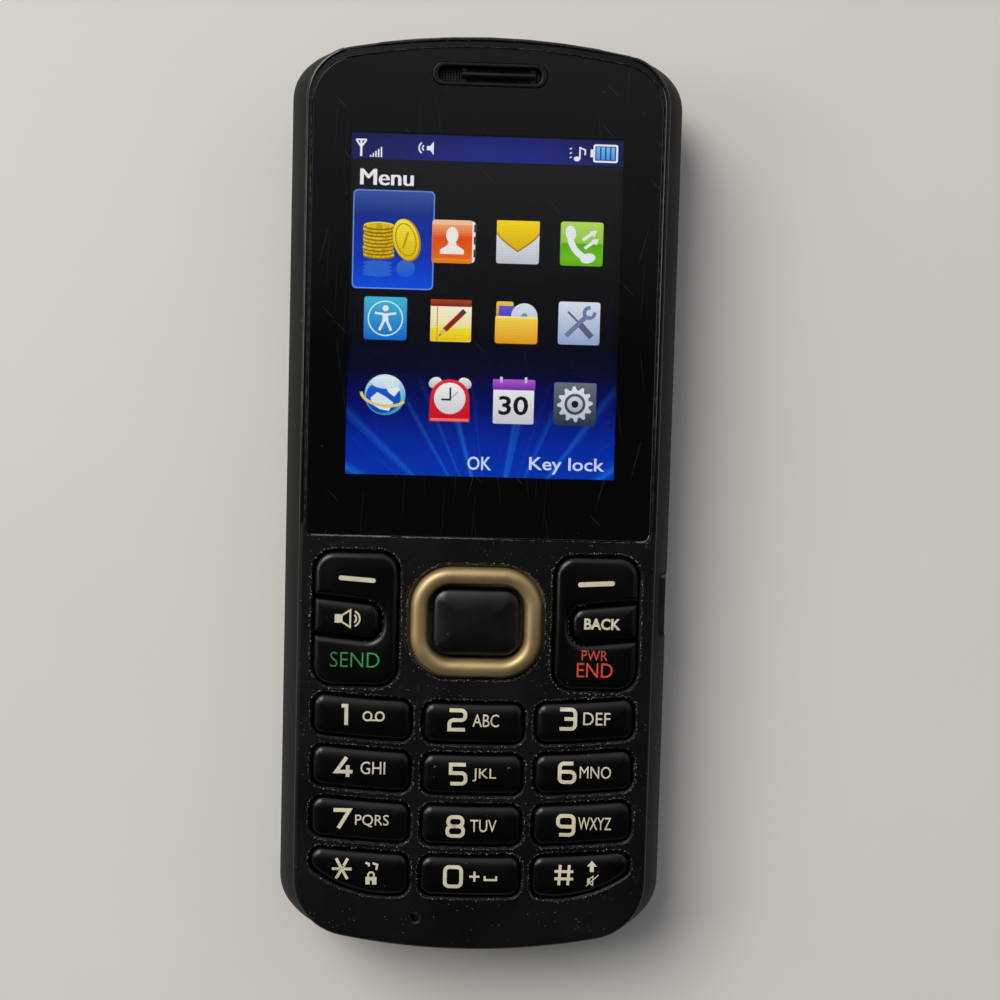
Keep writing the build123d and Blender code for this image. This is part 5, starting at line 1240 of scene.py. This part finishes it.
def gritTree():
    # grains of dust and chipped paint strewn along an edge
    tree, given, out = geometryTree("edgeGrit", {
        "Count": 200, "Small": 0.00002, "Large": 0.00006, "Scatter": 0.00008, "Kept": 0.6, "Seed": 4})

    def chance(kind, output, values):
        return valueOf(tree, "FunctionNodeRandomValue", {**values, "Seed": given["Seed"]}, output, data_type=kind)

    path = valueOf(tree, "GeometryNodeMeshToCurve", {"Mesh": given["Geometry"]})
    points = valueOf(tree, "GeometryNodeCurveToPoints", {"Curve": path, "Count": given["Count"]}, mode="COUNT")
    shift = chance("FLOAT_VECTOR", 0, {0: (-1, -1, -0.3), 1: (1, 1, 0.3)})
    shift = valueOf(tree, "ShaderNodeVectorMath", {0: shift, "Scale": given["Scatter"]}, operation="SCALE")
    moved = valueOf(tree, "GeometryNodeSetPosition", {"Geometry": points, "Offset": shift})
    grain = valueOf(tree, "GeometryNodeMeshIcoSphere", {"Radius": 1.0, "Subdivisions": 1})
    strewn = valueOf(tree, "GeometryNodeInstanceOnPoints", {
        "Points": moved, "Selection": chance("BOOLEAN", 3, {"Probability": given["Kept"]}),
        "Instance": valueOf(tree, "GeometryNodeTransform", {"Geometry": grain, "Scale": (1.0, 0.7, 0.45)}),
        "Rotation": chance("FLOAT_VECTOR", 0, {0: (0, 0, 0), 1: (6.2, 6.2, 6.2)}),
        "Scale": chance("FLOAT", 1, {2: given["Small"], 3: given["Large"]}),
    })
    return finishTree(tree, strewn, given, out)


def beadTree():
    # a round bead drawn along a path
    tree, given, out = geometryTree("edgeBead", {"Radius": 0.0003, "Sides": 14})
    path = valueOf(tree, "GeometryNodeMeshToCurve", {"Mesh": given["Geometry"]})
    circle = {"Resolution": given["Sides"], "Radius": given["Radius"]}
    outline = valueOf(tree, "GeometryNodeCurvePrimitiveCircle", circle, mode="RADIUS")
    inputs = {"Curve": path, "Profile Curve": outline, "Fill Caps": True}
    return finishTree(tree, valueOf(tree, "GeometryNodeCurveToMesh", inputs), given, out)


def grownMesh(name, base, tree, values):
    # runs the tree once and keeps the result as a plain mesh
    item = placed(name, base)
    modifier = item.modifiers.new("grow", "NODES")
    modifier.node_group = tree
    for socket in tree.interface.items_tree:
        if socket.in_out == "INPUT" and socket.name in values:
            modifier[socket.identifier] = values[socket.name]
    mesh = evaluatedMesh(item)
    item.modifiers.remove(modifier)
    bpy.data.objects.remove(item)
    mesh.name = name
    return mesh


def pathMesh(name, lines, closed):
    # edges along lines of (x, y, z) points in mm
    base = bpy.data.meshes.new(name + "_path")
    verts, edges = [], []
    for points in lines:
        indices = range(len(verts), len(verts) + len(points))
        verts += [Vector(point) * mm for point in points]
        pairs = looped(list(indices))
        edges += pairs if closed else pairs[:-1]
    base.from_pydata(verts, edges, [])
    return base


# Woven wire behind the earpiece slot and the loudspeaker slots
cloths = {
    "earpiece_cloth": {"node": "earpiece_mesh", "pitch": 0.32, "wire": 0.065, "margin": 0.1},
    "loudspeaker_cloth": {"node": "loudspeaker_mesh", "pitch": 0.36, "wire": 0.055, "margin": 0.1},
}


def makeCloths():
    tree = clothTree()
    for name, cloth in cloths.items():
        low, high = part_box(cloth["node"])
        size = high - low - Vector((cloth["margin"], cloth["margin"], 0)) * 2 * mm
        values = {"Width": size.x, "Length": size.y, "Pitch": cloth["pitch"] * mm, "Wire": cloth["wire"] * mm,
                  "Finish": materials["darkWire"]}
        mesh = grownMesh(name, bpy.data.meshes.new(name + "_base"), tree, values)
        for vertex in mesh.vertices:
            vertex.co += (low + high) / 2
        addPiece(name, smoothed(mesh), "darkWire", "phone", "steel", cloth["node"])


# Glossy bead round the window part, the window's own edge, a near-black bead of painted shade in the groove beside it,
# and its worn stretches
rim = {"radius": 0.34, "level": 12.34, "sink": 0.5, "sinkOver": 3.0,
       "half": 20.6, "top": 53.1, "bottom": -5.2, "corner": 5.65, "lowCorner": 0, "steps": 14}
windowBeads = {
    "window_edge": {"radius": 0.075, "finish": "rimGloss", "level": 12.5, "inset": 0.1},
    # near-black matte bead just outside the window: painted shade that darkens the groove between rim and window
    "window_groove_shade": {"radius": 0.13, "finish": "paintedGrooveShade", "level": 12.46, "inset": -0.12},
}
wornEdges = {  # bead radius, level and path
    "worn_edge_left": (0.065, 12.565, ((-19.5, -4.24), (-9.8, -4.24))),
    "worn_edge_middle": (0.035, 12.565, ((-9.0, -4.24), (2.2, -4.24))),
    "worn_edge_right": (0.06, 12.565, ((18.5, -4.24), (19.3, -4.19), (19.72, -4.03), (19.95, -3.75), (20.04, -3.3))),
    "worn_rim_top": (0.04, 12.655, ((-9.5, 52.75), (-5.0, 53.14), (-1.0, 53.26))),
}
wornSteps, wornWave = 24, {"size": 0.02, "sideways": 1.9, "upwards": 2.7}


def beadAlong(name, points, closed, tree, radius, finish):
    base = pathMesh(name, [points], closed)
    mesh = grownMesh(name, base, tree, {"Radius": radius * mm, "Finish": materials[finish]})
    addPiece(name, smoothed(mesh, angle=50), finish, "phone", "front_plastic")


def makeBeads():
    tree = beadTree()
    around = bowedOutline(rim)
    path = []
    for x, y in around[1:] + around[:1]:  # sinks towards its two lower ends
        near = max(0.0, 1 - (y - rim["bottom"]) / rim["sinkOver"])
        path.append((x, y, rim["level"] - rim["sink"] * near))
    risen = [(side * rim["half"], rim["bottom"] + rim["sinkOver"], rim["level"]) for side in (1, -1)]
    path = [path[0], risen[0], *path[1:-1], risen[1], path[-1]]
    beadAlong("rim_bead", path, False, tree, rim["radius"], "rimGloss")
    for name, look in windowBeads.items():
        points = [(*point, look["level"]) for point in bowedOutline(windowPrint, look["inset"])]
        beadAlong(name, points, True, tree, look["radius"], look["finish"])
    makeCameraPrint(tree)
    for name, (radius, level, corners) in wornEdges.items():
        points = []
        parts = wornSteps // (len(corners) - 1)
        for start, end in zip(corners, corners[1:]):
            for step in range(parts):
                x, y = Vector(start).lerp(Vector(end), step / parts)
                sideways, upwards = len(points) * wornWave["sideways"], len(points) * wornWave["upwards"] + 1
                points.append((x, y + wornWave["size"] * sin(sideways), level + wornWave["size"] * sin(upwards)))
        beadAlong(name, points, False, tree, radius, "wornEdge")


# Camera: black print round the clear middle of its window, and a thin bright ring
cameraPrint = {"middle": 42.5, "outer": 3.22, "inner": 1.7, "level": 0.098, "thick": 0.006, "sides": 64,
               "trimAround": 2.9, "trimRadius": 0.085, "trimLevel": 0.095}


def makeCameraPrint(tree):
    c = cameraPrint

    def circle(radius, level):
        return [(x, y, level) for x, y in arc(0, c["middle"], radius, radius, 0, 2, c["sides"])[:-1]]

    shape = bmesh.new()
    low, high = c["level"] - c["thick"], c["level"]
    rings = [circle(c["outer"], low), circle(c["inner"], low), circle(c["inner"], high), circle(c["outer"], high)]
    skin(shape, [[shape.verts.new(Vector(point) * mm) for point in ring] for ring in rings])
    turnOutwards(shape)
    addPiece("camera_print", meshOf("camera_print", shape), "windowPrint", "phone", "black_trim")
    beadAlong("camera_trim", circle(c["trimAround"], c["trimLevel"]), True, tree, c["trimRadius"], "steel")
    print("camera print and ring")


# Dust and paint chips along the edges of the openings
notchDust = {"perMm": 7.0, "small": 0.025, "large": 0.085, "scatter": 0.07, "kept": 0.6, "grow": 0.42, "level": 12.66}
plainDust = {"perMm": 7.5, "small": 0.035, "large": 0.105, "scatter": 0.11, "kept": 0.6, "level": 12.62}
grit = {
    "key_dust": {"seed": 3, "perMm": 6.0, "small": 0.03, "large": 0.095, "kept": 0.5, "grow": 0.44},
    "rocker_dust": {"seed": 5, "large": 0.115, "grow": 0.44},
    "right_rocker_key_notch_dust": {"seed": 13, **notchDust},
    "left_rocker_key_notch_dust": {"seed": 15, **notchDust},
    "rim_dust": {"seed": 17, "perMm": 2.5, "small": 0.025, "large": 0.06, "scatter": 0.12, "kept": 0.5, "level": 12.66,
                 "above": 44},
    "ring_dust": {"seed": 7, "grow": 0.46},
    "window_chips": {"seed": 9, "perMm": 9.0, "small": 0.03, "large": 0.075, "scatter": 0.05, "level": 12.61,
                     "from": -20, "to": 3, "y": -4.3},
    "window_chips_right": {"seed": 11, "perMm": 5.0, "small": 0.03, "large": 0.08, "scatter": 0.07, "kept": 0.3,
                           "level": 12.61, "from": 3, "to": 20, "y": -4.32},
}
openSide = 0.5  # the notch's dust stops this far inside the rocker's outer edge


def gritAlong(name, outlines, tree, closed=True, body="phone"):
    look = {**plainDust, **grit[name]}
    length = sum((Vector(end) - Vector(start)).length for points in outlines for start, end in zip(points, points[1:]))
    values = {label: look[label.lower()] * mm for label in ("Small", "Large", "Scatter")}
    values.update({"Count": int(length / len(outlines) * look["perMm"]), "Kept": look["kept"], "Seed": look["seed"],
                   "Finish": materials["grit"]})
    base = pathMesh(name, [[(*point, look["level"]) for point in points] for points in outlines], closed)
    addPiece(name, grownMesh(name, base, tree, values), "grit", body, "front_plastic")


def makeGrit():
    tree = gritTree()
    cells = [(column, row) for row in range(len(numberKeys["names"])) for column in (-1, 0, 1)]
    gritAlong("key_dust", [outlinePoints(numberKeyCorners(*cell), -grit["key_dust"]["grow"]) for cell in cells], tree)
    shapes = [sided(rockerCorners(), side) for side in (1, -1)]
    gritAlong("rocker_dust", [outlinePoints(shape, -grit["rocker_dust"]["grow"]) for shape in shapes], tree)
    around = outlinePoints(smallCorners(0, functionKeys["smallCorner"], 0), -notchDust["grow"])
    limit = functionKeys["outer"] - openSide
    turn = next(index for index, point in enumerate(around) if point.x > limit)
    edge = [point for point in around[turn:] + around[:turn] if point.x < limit]
    for node, side in (("right_rocker_key", 1), ("left_rocker_key", -1)):
        turned = [(side * x, y) for x, y in edge]
        gritAlong(node + "_notch_dust", [turned], tree, False, node + "_body")
    top = [point for point in bowedOutline(rim) if point.y > grit["rim_dust"]["above"]]
    gritAlong("rim_dust", [top], tree, False)
    gritAlong("ring_dust", [outlinePoints(boxCorners(*pad["ring"]), -grit["ring_dust"]["grow"])], tree)
    for name in ("window_chips", "window_chips_right"):
        look = grit[name]
        gritAlong(name, [[(x, look["y"]) for x in range(look["from"], look["to"] + 1)]], tree, False)


makeWindowPrint()
makeScreen()
print("screen drawn:", len(patches), "patches")
makeCloths()
makeBeads()
makeGrit()
print("wire cloth and grit grown")


def floorPlane():
    mesh = flatSheet("floor", 0, 0, studio["floorSide"], studio["floorSide"], -studio["floorDrop"])
    mesh.materials.append(materials["floor"])
    placed("floor", mesh)


floorPlane()
